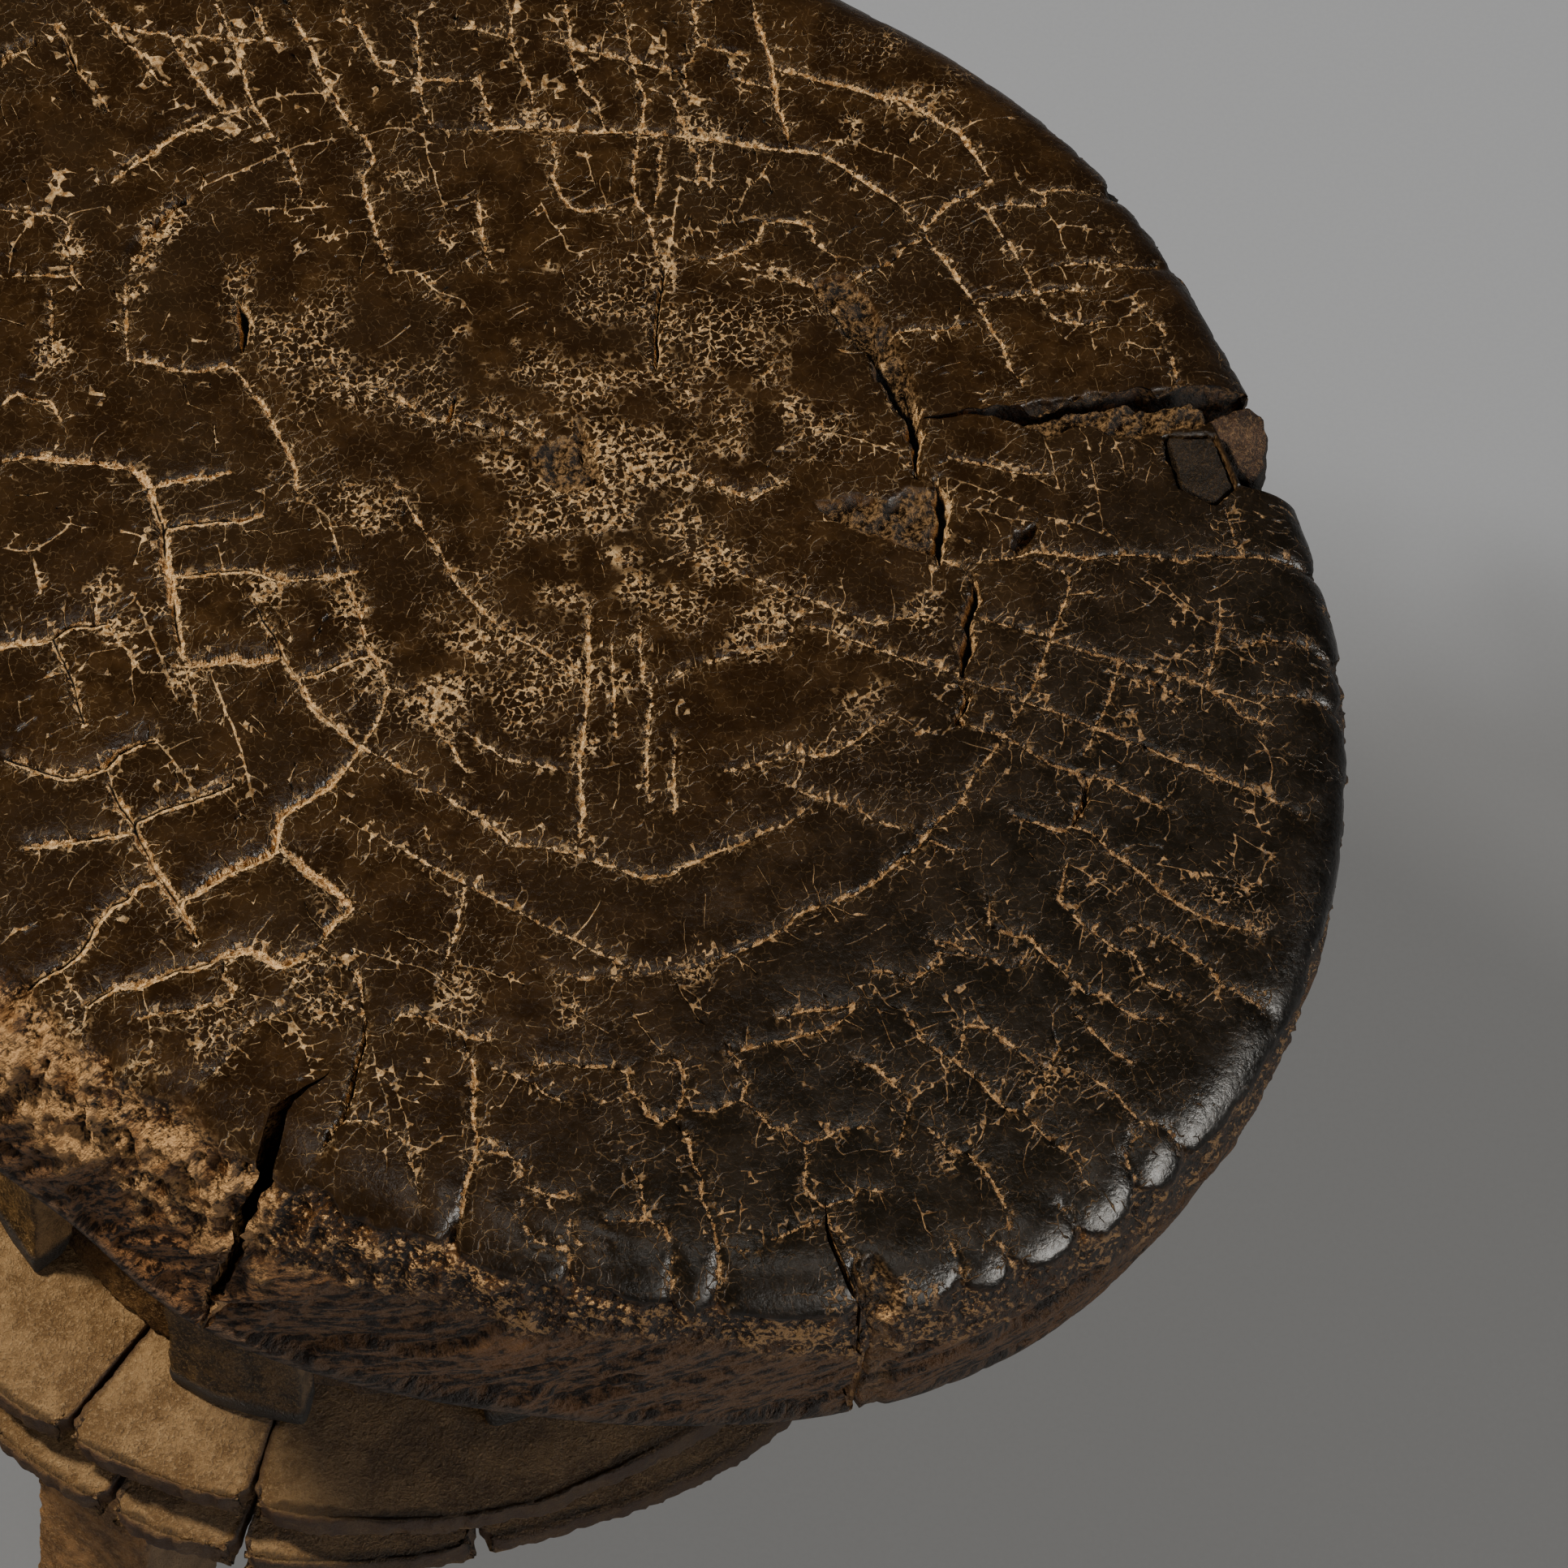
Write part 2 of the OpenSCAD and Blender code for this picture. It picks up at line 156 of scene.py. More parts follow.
def noise(x, y, z, cell, shift=0.0):
    """Random values from -1 to 1 that change over about one cell."""
    total = 0.0
    parts = []
    for v, k in ((x, 0.0), (y, 17.3), (z, 31.7)):
        w = np.asarray(v, float) / cell + k + shift
        i = np.floor(w).astype(int)
        f = w - i
        parts.append((i, f * f * (3 - 2 * f)))
    (ix, fx), (iy, fy), (iz, fz) = parts
    for dx in (0, 1):
        for dy in (0, 1):
            for dz in (0, 1):
                corner = lattice[(ix + dx) % LATTICE, (iy + dy) % LATTICE, (iz + dz) % LATTICE]
                total = total + (corner * (fx if dx else 1 - fx) * (fy if dy else 1 - fy)
                                 * (fz if dz else 1 - fz))
    return total * 2 - 1


def rough(x, y, z, cell, octaves=3, shift=0.0):
    return sum(noise(x, y, z, cell / 2 ** k, shift + 5 * k) / 2 ** k for k in range(octaves))


def ridged(x, y, z, cell, octaves, shift):
    """Sharp crests from 0 to 1."""
    return sum((1 - abs(noise(x, y, z, cell / 2 ** k, shift + 7 * k))) ** 2 / 2 ** k
               for k in range(octaves)) / (2 - 2 ** (1 - octaves))


def smooth(low, high, v):
    t = np.clip((v - low) / (high - low), 0, 1)
    return t * t * (3 - 2 * t)


def inside(poly, x, y):
    """How far a point lies inside an outline, negative outside."""
    dist = np.full(x.shape, 1e9)
    odd = np.zeros(x.shape, bool)
    for a, b in zip(poly, np.roll(poly, -1, 0)):
        ab = b - a
        t = np.clip(((x - a[0]) * ab[0] + (y - a[1]) * ab[1]) / (ab @ ab), 0, 1)
        dist = np.minimum(dist, np.hypot(x - a[0] - t * ab[0], y - a[1] - t * ab[1]))
        crosses = (a[1] > y) != (b[1] > y)
        slope = np.where(crosses, (b[0] - a[0]) * (y - a[1]) / (b[1] - a[1] + 1e-12) + a[0], 0)
        odd ^= crosses & (x < slope)
    return np.where(odd, dist, -dist)


# Drying cracks that the photograph shows, by their width in millimetres. These and the places
# below are measured in the picture, each in a row as x, y, x, y.
cracks = {
    1.2: [
        [0, 566, 27, 560, 66, 563, 99, 566, 133, 570, 162, 573, 176, 586, 184, 599, 191, 623, 199,
         639, 201, 659, 202, 682, 209, 709, 212, 735, 216, 765, 222, 798, 226, 815],
        [133, 960, 143, 980, 162, 1010, 176, 1040, 192, 1069, 212, 1099, 225, 1119, 235, 1142,
         242, 1159],
        [226, 815, 252, 813, 285, 808, 312, 811, 345, 806],
        [222, 1106, 245, 1093, 265, 1076, 292, 1063, 318, 1053, 335, 1043, 340, 1018, 345, 1000,
         381, 980, 411, 960, 444, 918],
        [348, 1040, 371, 1059, 395, 1083, 421, 1103, 431, 1119, 415, 1132, 401, 1146, 395, 1162],
        [928, 0, 933, 27, 943, 53, 951, 73, 954, 106, 958, 129, 966, 149, 974, 179],
        [960, 83, 987, 86, 1013, 96, 1043, 101, 1069, 111, 1093, 118, 1109, 116, 1126, 128, 1146,
         138, 1162, 149, 1182, 159, 1195, 179, 1215, 206, 1222, 219],
        [1320, 1015, 1346, 1022, 1370, 1049, 1403, 1068, 1423, 1088, 1453, 1112, 1486, 1128, 1526,
         1140, 1555, 1146],
        [269, 136, 245, 146, 219, 159, 196, 176, 169, 194, 149, 209, 133, 222],
        [573, 1282, 584, 1312, 583, 1341, 583, 1375, 588, 1404, 580, 1434, 573, 1460, 567, 1494,
         556, 1520],
        [960, 1252, 993, 1242, 1026, 1239, 1053, 1235],
    ],
    0.9: [
        [0, 792, 20, 785, 63, 782, 83, 765, 106, 762, 129, 762],
        [7, 931, 33, 938, 60, 948, 90, 951, 129, 938, 143, 924, 166, 911, 189, 908],
        [33, 1038, 66, 1033, 109, 1028, 146, 1023, 166, 1020],
        [158, 444, 186, 444, 212, 454, 245, 456, 282, 449, 298, 464],
        [298, 464, 312, 484, 327, 503, 342, 533, 356, 555, 363, 576, 366, 613],
        [106, 1235, 126, 1219, 143, 1209, 172, 1209, 206, 1195, 232, 1189, 265, 1179, 289, 1169,
         312, 1166, 342, 1189, 368, 1179, 395, 1162],
        [353, 0, 366, 27, 380, 50, 390, 76, 401, 99, 413, 113, 418, 129, 431, 149, 448, 166, 458,
         186, 459, 202, 448, 212, 451, 239, 459, 269, 468, 298, 482, 335],
        [530, 154, 563, 159, 603, 156, 639, 154, 679, 156, 719, 161, 755, 161, 788, 163, 845, 166,
         895, 171, 938, 179, 968, 181, 1000, 184, 1013, 186, 1040, 202, 1063, 219, 1086, 232,
         1106, 245, 1123, 262, 1139, 279],
        [558, 32, 583, 33, 613, 41, 629, 48],
        [669, 46, 702, 55, 735, 63, 775, 71, 808, 80, 841, 88],
        [209, 41, 221, 63, 237, 88, 254, 106, 265, 124, 269, 136],
        [513, 970, 543, 975, 563, 990, 589, 1003, 613, 1023, 629, 1040, 659, 1040, 686, 1046, 712,
         1050, 735, 1060, 762, 1069, 792, 1079, 822, 1076, 851, 1063, 885, 1046, 914, 1040, 941,
         1023, 968, 1016, 1000, 992],
        [832, 1195, 855, 1192, 871, 1186, 891, 1176, 921, 1166, 944, 1156, 968, 1142, 987, 1123,
         1023, 1113, 1056, 1099, 1079, 1086, 1103, 1063, 1129, 1043, 1139, 1031, 1159, 1006, 1189,
         980],
        [1202, 692, 1242, 686, 1275, 679, 1308, 682, 1341, 687, 1375, 681, 1420, 683, 1458, 691,
         1476, 683, 1533, 684, 1568, 684, 1602, 685, 1626, 689],
        [1139, 279, 1156, 259, 1172, 245, 1195, 237, 1215, 219],
        [1139, 279, 1144, 292, 1159, 312, 1176, 332, 1189, 352, 1202, 368, 1215, 391, 1235, 421,
         1242, 444, 1255, 461, 1263, 478],
        [898, 1295, 935, 1285, 971, 1278, 993, 1272, 1026, 1262, 1053, 1240],
        [656, 1310, 692, 1308, 722, 1313, 752, 1310, 772, 1318, 775, 1338, 792, 1355, 795, 1371,
         815, 1381, 832, 1371, 841, 1348, 845, 1328, 835, 1305, 815, 1295],
        [832, 1378, 846, 1398, 856, 1434, 865, 1448, 864, 1476, 876, 1498, 885, 1537, 887, 1573,
         884, 1600],
        [725, 745, 725, 812, 724, 845, 720, 895, 714, 924, 715, 958, 719, 1000, 715, 1010, 712,
         1036, 719, 1053],
        [480, 1262, 493, 1249, 520, 1252, 553, 1265, 580, 1278, 609, 1282],
        [845, 166, 900, 171, 960, 180],
        [825, 583, 845, 579, 878, 593, 904, 603, 924, 613, 944, 603, 968, 589],
    ],
    0.6: [
        [155, 335, 156, 381, 155, 405, 158, 444],
        [184, 598, 212, 589, 245, 581, 282, 578],
        [202, 646, 225, 642, 252, 639, 285, 637, 325, 632],
        [209, 705, 239, 704, 269, 700, 305, 699, 345, 712, 381, 709, 421, 705, 441, 702],
        [312, 739, 322, 762, 335, 778, 345, 802, 355, 821, 368, 835, 378, 858, 398, 878, 421, 898,
         441, 918, 471, 931, 497, 947, 520, 957],
        [368, 833, 391, 828, 418, 815, 441, 807, 458, 807],
        [421, 705, 431, 725, 444, 755, 448, 778, 458, 805, 471, 828, 478, 845, 471, 871, 464, 891,
         444, 918],
        [63, 782, 76, 808, 90, 841, 99, 878, 103, 888],
        [109, 0, 128, 22, 143, 36, 156, 51, 166, 56, 179, 76, 194, 95, 212, 103],
        [80, 20, 66, 33, 80, 45, 86, 60, 96, 86, 109, 103, 123, 116, 136, 139],
        [129, 23, 159, 33, 199, 38, 212, 41, 249, 41, 289, 45, 325, 46, 348, 50],
        [264, 0, 275, 20, 287, 43, 292, 66, 300, 90, 303, 106, 310, 123, 327, 149, 342, 169, 355,
         189, 365, 209, 371, 239],
        [310, 129, 289, 133, 269, 136],
        [313, 0, 320, 20, 327, 43],
        [418, 0, 424, 20, 441, 30, 451, 50, 468, 80, 488, 91, 520, 96, 540, 96, 570, 99, 593, 96],
        [0, 257, 33, 259, 61, 260, 76, 265, 86, 279, 80, 295, 86, 308, 88, 335, 103, 355],
        [0, 342, 20, 338, 50, 338, 83, 340],
        [63, 358, 63, 385, 65, 415, 63, 451],
        [0, 497, 20, 481, 40, 488, 63, 494, 75, 517],
        [624, 0, 631, 20, 629, 46, 636, 63, 643, 83, 652, 103, 657, 126, 659, 146],
        [697, 0, 701, 33, 704, 66, 709, 90, 722, 113, 735, 123, 739, 139, 744, 156],
        [765, 0, 772, 30, 777, 66, 785, 96, 795, 119, 792, 146, 788, 163, 782, 196, 780, 226, 785,
         252, 798, 265, 805, 292, 808, 318, 817, 335],
        [851, 0, 858, 27, 858, 50, 853, 73, 843, 78, 843, 100, 850, 129],
        [802, 109, 828, 119, 838, 143, 846, 166, 851, 182, 861, 189, 858, 209, 863, 236],
        [858, 51, 878, 58, 918, 65],
        [951, 80, 978, 83, 1000, 90],
        [898, 93, 924, 98, 953, 106],
        [490, 10, 512, 27, 515, 60, 517, 86, 520, 123, 530, 153],
        [589, 93, 596, 116, 603, 136, 604, 154],
        [588, 235, 591, 265, 596, 298, 606, 328],
        [676, 166, 686, 196, 679, 212, 687, 232, 699, 252, 719, 260, 742, 257, 759, 255, 772,
         265],
        [817, 176, 812, 199, 812, 229, 807, 252],
        [848, 318, 885, 317, 911, 305, 934, 292, 943, 269, 974, 269, 1000, 275, 1003, 292, 1030,
         312, 1030, 325],
        [480, 586, 497, 609, 513, 636, 526, 656, 543, 679, 560, 712, 583, 739, 606, 762, 626, 778,
         652, 792, 679, 808, 706, 822, 722, 832],
        [400, 450, 440, 470, 490, 488, 533, 516, 560, 515, 600, 525, 650, 545],
        [606, 507, 633, 516, 659, 530, 679, 538],
        [755, 788, 755, 828, 757, 871, 759, 908],
        [788, 762, 790, 812, 793, 838, 803, 848, 798, 895, 797, 944, 797, 977, 807, 1000],
        [831, 908, 830, 944, 831, 1000],
        [822, 838, 845, 825, 871, 815, 904, 808, 934, 798, 968, 792, 977, 765, 994, 745],
        [888, 689, 911, 705, 944, 715, 971, 729, 1000, 737, 1020, 745, 1059, 762, 1083, 767, 1103,
         762, 1146, 755, 1152, 762],
        [480, 845, 500, 851, 523, 865, 536, 895, 553, 914, 576, 954],
        [560, 891, 589, 911, 623, 934, 659, 941, 706, 951],
        [891, 951, 928, 944, 958, 934, 991, 921],
        [960, 931, 987, 924, 1003, 931, 1030, 928, 1056, 911, 1073, 898, 1093, 885],
        [1156, 573, 1176, 565, 1205, 570, 1239, 578, 1268, 583, 1298, 584],
        [1162, 689, 1186, 699, 1199, 709],
        [1192, 891, 1212, 900, 1235, 904, 1249, 911, 1272, 928, 1295, 941, 1323, 949, 1340, 957,
         1366, 957, 1390, 972, 1426, 990, 1446, 1002],
        [1235, 908, 1222, 928, 1205, 948, 1192, 968, 1182, 985],
        [1245, 895, 1258, 871, 1272, 845, 1285, 812, 1295, 782, 1308, 752, 1318, 719, 1317, 709,
         1278, 692],
        [480, 1036, 520, 1059, 573, 1088, 639, 1122, 712, 1159, 788, 1199, 832, 1195],
        [788, 1199, 755, 1202, 712, 1204, 686, 1199],
        [573, 1089, 568, 1116, 560, 1156, 550, 1179, 543, 1205],
        [960, 963, 1000, 980, 1056, 995, 1079, 1010, 1136, 1030, 1189, 1050],
        [1315, 1063, 1308, 1089, 1302, 1106, 1327, 1131, 1353, 1151, 1376, 1168, 1393, 1171, 1406,
         1191, 1416, 1211, 1436, 1216, 1463, 1231],
        [1249, 1003, 1278, 1013, 1308, 1023, 1320, 1015],
        [1381, 813, 1371, 846, 1360, 876, 1350, 893, 1343, 913, 1330, 939],
        [1300, 790, 1343, 803, 1383, 813, 1426, 826, 1453, 831, 1486, 846, 1516, 863, 1529, 879,
         1555, 884, 1557, 903],
        [1503, 760, 1499, 793, 1491, 823, 1487, 846],
        [1511, 787, 1543, 794, 1549, 788, 1605, 790, 1613, 792, 1652, 808],
        [1545, 853, 1575, 855, 1615, 856, 1648, 863],
        [1189, 835, 1225, 848, 1265, 865, 1305, 878, 1345, 893, 1413, 919, 1466, 941, 1545, 972,
         1582, 989, 1608, 999],
        [1205, 759, 1245, 772, 1292, 783],
        [990, 769, 1026, 775, 1066, 792, 1109, 808, 1146, 818, 1186, 832],
        [1219, 1103, 1219, 1139, 1249, 1152, 1268, 1152, 1278, 1166, 1296, 1184, 1322, 1206, 1337,
         1224, 1359, 1224, 1377, 1239, 1403, 1254, 1433, 1254],
        [1152, 1159, 1176, 1162, 1195, 1176, 1222, 1179, 1242, 1195, 1258, 1186, 1268, 1166],
        [1152, 1159, 1159, 1186, 1136, 1199, 1123, 1212, 1096, 1195, 1069, 1195],
        [1115, 1243, 1133, 1278, 1174, 1304, 1204, 1328, 1241, 1365, 1259, 1365, 1285, 1395, 1318,
         1420, 1333, 1439, 1335, 1457],
        [1174, 1304, 1185, 1287, 1189, 1261, 1218, 1265, 1248, 1287, 1285, 1317, 1292, 1324],
        [1259, 1365, 1274, 1350, 1307, 1287],
        [1144, 1387, 1174, 1417, 1189, 1415, 1222, 1450, 1241, 1487, 1244, 1513],
        [1396, 1135, 1429, 1148, 1459, 1168, 1492, 1191, 1506, 1213, 1545, 1228, 1562, 1238],
        [1318, 1239, 1344, 1269, 1374, 1298, 1396, 1309],
        [1337, 1321, 1374, 1346, 1407, 1383, 1389, 1420, 1403, 1446, 1414, 1480],
        [1407, 1380, 1444, 1387, 1470, 1413, 1485, 1430],
        [1311, 1483, 1333, 1506, 1344, 1528, 1346, 1565],
        [1222, 1517, 1248, 1543, 1265, 1566],
        [1170, 1524, 1185, 1554, 1194, 1590],
        [960, 1384, 990, 1406, 1013, 1401, 1033, 1388, 1066, 1386],
        [990, 1408, 994, 1426, 989, 1459, 1017, 1484, 1021, 1505, 1039, 1530, 1053, 1544],
        [1017, 1498, 989, 1509, 939, 1532, 899, 1541],
        [1017, 1484, 1053, 1473, 1056, 1459, 1092, 1466],
        [1056, 1305, 1083, 1315, 1103, 1335, 1119, 1355, 1116, 1375, 1109, 1398, 1106, 1421],
        [914, 1351, 931, 1365, 948, 1384, 968, 1388, 991, 1408],
        [898, 1295, 911, 1318, 921, 1331, 914, 1351, 895, 1358, 881, 1365, 851, 1366],
        [776, 1434, 789, 1459, 794, 1498],
        [746, 1501, 792, 1500, 817, 1505, 828, 1541, 830, 1573, 826, 1601],
        [586, 1416, 626, 1421, 643, 1434, 649, 1461, 679, 1471, 706, 1476],
        [642, 1476, 647, 1512, 656, 1526, 692, 1535, 728, 1526, 749, 1534],
        [703, 1494, 699, 1534, 703, 1573],
        [606, 1315, 629, 1322, 659, 1335, 679, 1351, 696, 1355],
        [169, 1252, 199, 1247, 232, 1244, 259, 1235, 282, 1232, 289, 1215, 275, 1202, 275, 1179],
        [285, 1235, 298, 1249, 312, 1259, 295, 1275, 285, 1298, 265, 1318, 245, 1332],
        [312, 1259, 338, 1249, 358, 1242],
        [196, 1083, 166, 1089, 153, 1103, 133, 1113, 119, 1132, 106, 1156, 93, 1172, 76, 1186, 50,
         1199, 27, 1212, 0, 1222],
        [166, 1010, 199, 993, 239, 982, 285, 965],
        [424, 1381, 454, 1381, 478, 1388, 497, 1404, 504, 1424, 511, 1451, 517, 1477],
        [395, 1162, 418, 1189, 441, 1199, 446, 1225, 449, 1255],
        [398, 1202, 415, 1225, 438, 1245, 451, 1258],
        [1408, 380, 1419, 397, 1431, 400, 1438, 426, 1444, 444, 1450, 466],
        [1195, 240, 1215, 255, 1232, 282, 1252, 312, 1265, 332, 1282, 361, 1295, 385],
        [1215, 255, 1242, 247, 1268, 249, 1288, 250, 1287, 235, 1268, 229],
        [1288, 232, 1318, 229, 1351, 229, 1391, 225],
        [1295, 325, 1325, 323, 1358, 322, 1388, 327, 1418, 322, 1431, 315],
        [1358, 269, 1371, 292, 1381, 315, 1388, 327],
        [1205, 371, 1232, 361, 1258, 360, 1282, 358, 1312, 355, 1355, 357],
        [1295, 385, 1308, 393, 1338, 398, 1368, 395],
        [1089, 415, 1109, 406, 1132, 403, 1159, 403, 1199, 395],
        [1144, 289, 1119, 298, 1099, 322, 1069, 332, 1050, 345],
        [1509, 621, 1514, 637, 1519, 659, 1525, 675, 1534, 684],
        [1378, 831, 1403, 835, 1436, 846, 1463, 869],
    ],
    0.35: [
        [1182, 159, 1205, 149, 1232, 143, 1262, 136],
        [1287, 255, 1302, 275, 1331, 280, 1358, 282, 1378, 284],
        [1338, 401, 1345, 418, 1350, 438],
        [1355, 371, 1378, 370, 1394, 365, 1404, 358, 1421, 355, 1444, 355],
        [1394, 368, 1408, 381, 1418, 396, 1434, 401, 1467, 398],
        [1285, 538, 1295, 563, 1300, 586, 1308, 609],
        [1159, 586, 1192, 596, 1225, 609, 1258, 623, 1285, 636, 1325, 646, 1365, 662],
        [1341, 563, 1348, 589, 1355, 623, 1358, 656],
        [1371, 540, 1380, 563, 1386, 586],
        [1176, 623, 1209, 629, 1242, 639, 1278, 643],
        [1189, 835, 1210, 845, 1245, 850, 1268, 858],
        [1142, 692, 1149, 712, 1149, 742],
        [1093, 875, 1116, 888, 1139, 901, 1159, 908, 1176, 888],
        [960, 964, 993, 974, 1026, 987, 1059, 997],
        [990, 526, 1020, 533, 1059, 543, 1093, 556, 1116, 563],
        [996, 184, 1013, 172, 1040, 169, 1056, 172, 1073, 182, 1103, 189, 1123, 199, 1136, 212],
        [938, 332, 961, 328, 984, 342, 1000, 352],
        [835, 282, 865, 284, 891, 285],
        [954, 187, 938, 216, 921, 232, 908, 262],
        [881, 182, 876, 206, 875, 235],
        [871, 270, 905, 275, 924, 265, 944, 269],
        [666, 245, 679, 272, 692, 289, 699, 308, 719, 315],
        [838, 226, 832, 262, 828, 298, 823, 308, 817, 332],
        [722, 186, 727, 212, 734, 232],
        [480, 335, 513, 333, 526, 348, 543, 361, 570, 368, 583, 388],
        [523, 159, 526, 186, 535, 216, 543, 239, 551, 262],
        [242, 232, 265, 222, 292, 212, 318, 199, 345, 186, 365, 179, 398, 172, 426, 169],
        [312, 257, 358, 257, 411, 254],
        [381, 294, 405, 292, 428, 287, 454, 284],
        [451, 166, 478, 158, 501, 158, 520, 164],
        [310, 123, 332, 118, 358, 114, 395, 113],
        [61, 260, 68, 235, 76, 212, 80, 206],
        [36, 262, 30, 282, 17, 302, 10, 335],
        [146, 652, 172, 659, 192, 669, 199, 679],
        [159, 722, 176, 755, 199, 812, 212, 851, 222, 868],
        [129, 762, 143, 782, 159, 805, 176, 828, 199, 828],
        [226, 815, 232, 841, 242, 868, 244, 891],
        [259, 822, 272, 861, 289, 901, 302, 944, 315, 994],
        [189, 908, 212, 934, 229, 958, 239, 974, 265, 964, 305, 954],
        [129, 938, 139, 968, 156, 997, 166, 1010],
        [0, 674, 40, 679, 63, 666, 80, 652, 90, 636],
        [40, 682, 45, 709, 50, 735],
        [365, 613, 391, 623, 405, 639, 414, 666, 421, 692],
        [418, 1003, 444, 1020, 474, 1033, 520, 1059],
        [458, 1285, 464, 1318, 474, 1351, 481, 1388],
        [434, 1169, 464, 1179, 491, 1189, 520, 1192, 540, 1205, 556, 1222, 576, 1239],
        [480, 1146, 513, 1159, 540, 1176],
        [556, 1189, 596, 1195, 629, 1209, 652, 1214],
        [332, 1255, 358, 1260, 371, 1282, 381, 1312, 395, 1345],
        [176, 1215, 181, 1249, 186, 1275, 172, 1295, 166, 1312],
        [76, 1192, 86, 1212, 103, 1232, 106, 1245, 99, 1265, 80, 1275],
        [778, 1242, 788, 1262, 802, 1278, 815, 1295],
        [832, 1205, 841, 1225, 865, 1262],
        [480, 1391, 500, 1411, 526, 1418, 546, 1401, 573, 1401],
        [483, 1305, 490, 1351, 500, 1378, 510, 1438, 513, 1467],
        [1053, 1215, 1073, 1212, 1099, 1242, 1116, 1242, 1132, 1278],
        [1189, 1261, 1172, 1242, 1159, 1225],
        [1163, 1309, 1168, 1358],
        [1119, 1355, 1139, 1341, 1152, 1338],
        [1192, 1391, 1215, 1383, 1241, 1387],
        [1126, 1465, 1141, 1513, 1155, 1528],
        [1348, 1450, 1374, 1476, 1396, 1498],
        [1470, 1350, 1485, 1354, 1492, 1368],
        [1506, 1213, 1496, 1231, 1489, 1248],
        [1419, 1063, 1449, 1068, 1479, 1075, 1492, 1085],
        [1315, 1062, 1350, 1085, 1376, 1103],
        [1519, 1025, 1552, 1045, 1565, 1052, 1599, 1055, 1625, 1065],
        [1565, 1052, 1549, 1085, 1532, 1092, 1512, 1078],
        [1532, 1092, 1545, 1122, 1555, 1146],
        [1545, 972, 1547, 1005, 1555, 1025],
        [1545, 903, 1562, 923, 1567, 946, 1562, 976],
        [1565, 931, 1592, 932, 1628, 939],
        [1486, 846, 1532, 859, 1572, 874],
        [1403, 811, 1423, 811, 1439, 823, 1443, 810, 1463, 813, 1486, 830],
        [1599, 835, 1645, 820],
        [1514, 633, 1546, 630, 1568, 637, 1584, 640, 1594, 653],
        [1525, 672, 1554, 660, 1586, 649],
        [1559, 617, 1586, 617, 1608, 624],
        [1592, 665, 1594, 683],
        [1400, 711, 1434, 731, 1474, 758],
        [1409, 705, 1431, 715, 1447, 734, 1472, 751, 1474, 760, 1503, 772, 1522, 775],
        [1502, 736, 1503, 760],
        [1613, 792, 1612, 766, 1589, 760],
        [1380, 423, 1401, 424, 1409, 430, 1436, 430],
        [1451, 458, 1487, 455, 1533, 456],
        [1555, 1146, 1585, 1161],
        [1559, 1151, 1565, 1178, 1569, 1200],
        [821, 1484, 846, 1482],
        [876, 1498, 896, 1492, 924, 1487],
        [596, 1498, 592, 1551],
    ],
}
# Cracks that stand open and dark, with their width
open_cracks = {
    2.7: [
        [1003, 352, 1013, 365, 1030, 381, 1050, 405, 1073, 424, 1089, 451, 1106, 481, 1116, 497,
         1126, 520, 1129, 546, 1128, 572, 1130, 588],
        [1154, 592, 1160, 608, 1162, 626, 1159, 652, 1156, 679, 1158, 692],
    ],
    1.8: [
        [1196, 704, 1204, 729, 1199, 745, 1192, 762, 1194, 785, 1190, 812, 1186, 832],
        [297, 431, 300, 408, 300, 385, 292, 368],
        [1177, 883, 1190, 891],
    ],
    0.9: [
        [960, 332, 980, 342, 1003, 352],
        [1179, 838, 1195, 858, 1186, 875, 1177, 885],
        [817, 335, 812, 365, 808, 398, 810, 428, 807, 454],
        [1438, 543, 1443, 570],
        [560, 490, 553, 516],
        [80, 45, 86, 60, 96, 86],
        [451, 1258, 448, 1282, 438, 1312, 431, 1348, 421, 1381, 405, 1398, 395, 1418],
        [1341, 962, 1335, 989, 1322, 1012],
        [1053, 1544, 1060, 1573, 1071, 1601, 1089, 1630],
        [1344, 1528, 1346, 1575],
        [1414, 1480, 1420, 1500],
        [0, 76, 13, 63, 43, 50],
        [232, 244, 212, 252, 196, 269, 179, 289, 166, 308, 156, 335],
    ],
}
# Outlines of broken, crumbled places: the right split's lip, the shake above and below, a pit
# in the heart, the front of the rim and a pit in the wedge
crumbled = [from_picture(outline_px) for outline_px in (
    [1215, 510, 1262, 497, 1330, 490, 1400, 486, 1440, 480, 1452, 470, 1470, 492, 1520, 486, 1545,
     482, 1550, 500, 1500, 512, 1478, 524, 1440, 532, 1405, 540, 1365, 535, 1345, 524, 1312, 528,
     1290, 540, 1262, 522, 1238, 514],
    [1005, 350, 1042, 338, 1064, 362, 1084, 388, 1102, 414, 1114, 442, 1126, 476, 1136, 512, 1128,
     536, 1120, 505, 1106, 476, 1090, 450, 1072, 424, 1050, 403, 1028, 380],
    [1008, 622, 1050, 612, 1095, 618, 1120, 602, 1148, 606, 1152, 650, 1150, 684, 1128, 676, 1096,
     666, 1060, 654, 1026, 640],
    [655, 560, 668, 542, 705, 538, 716, 516, 728, 560, 740, 588, 716, 600, 690, 604, 668, 590],
    [1062, 1548, 1082, 1552, 1104, 1572, 1112, 1590, 1098, 1622, 1076, 1620, 1064, 1584],
    [1242, 672, 1250, 656, 1278, 642, 1282, 652, 1270, 672, 1256, 680],
)]
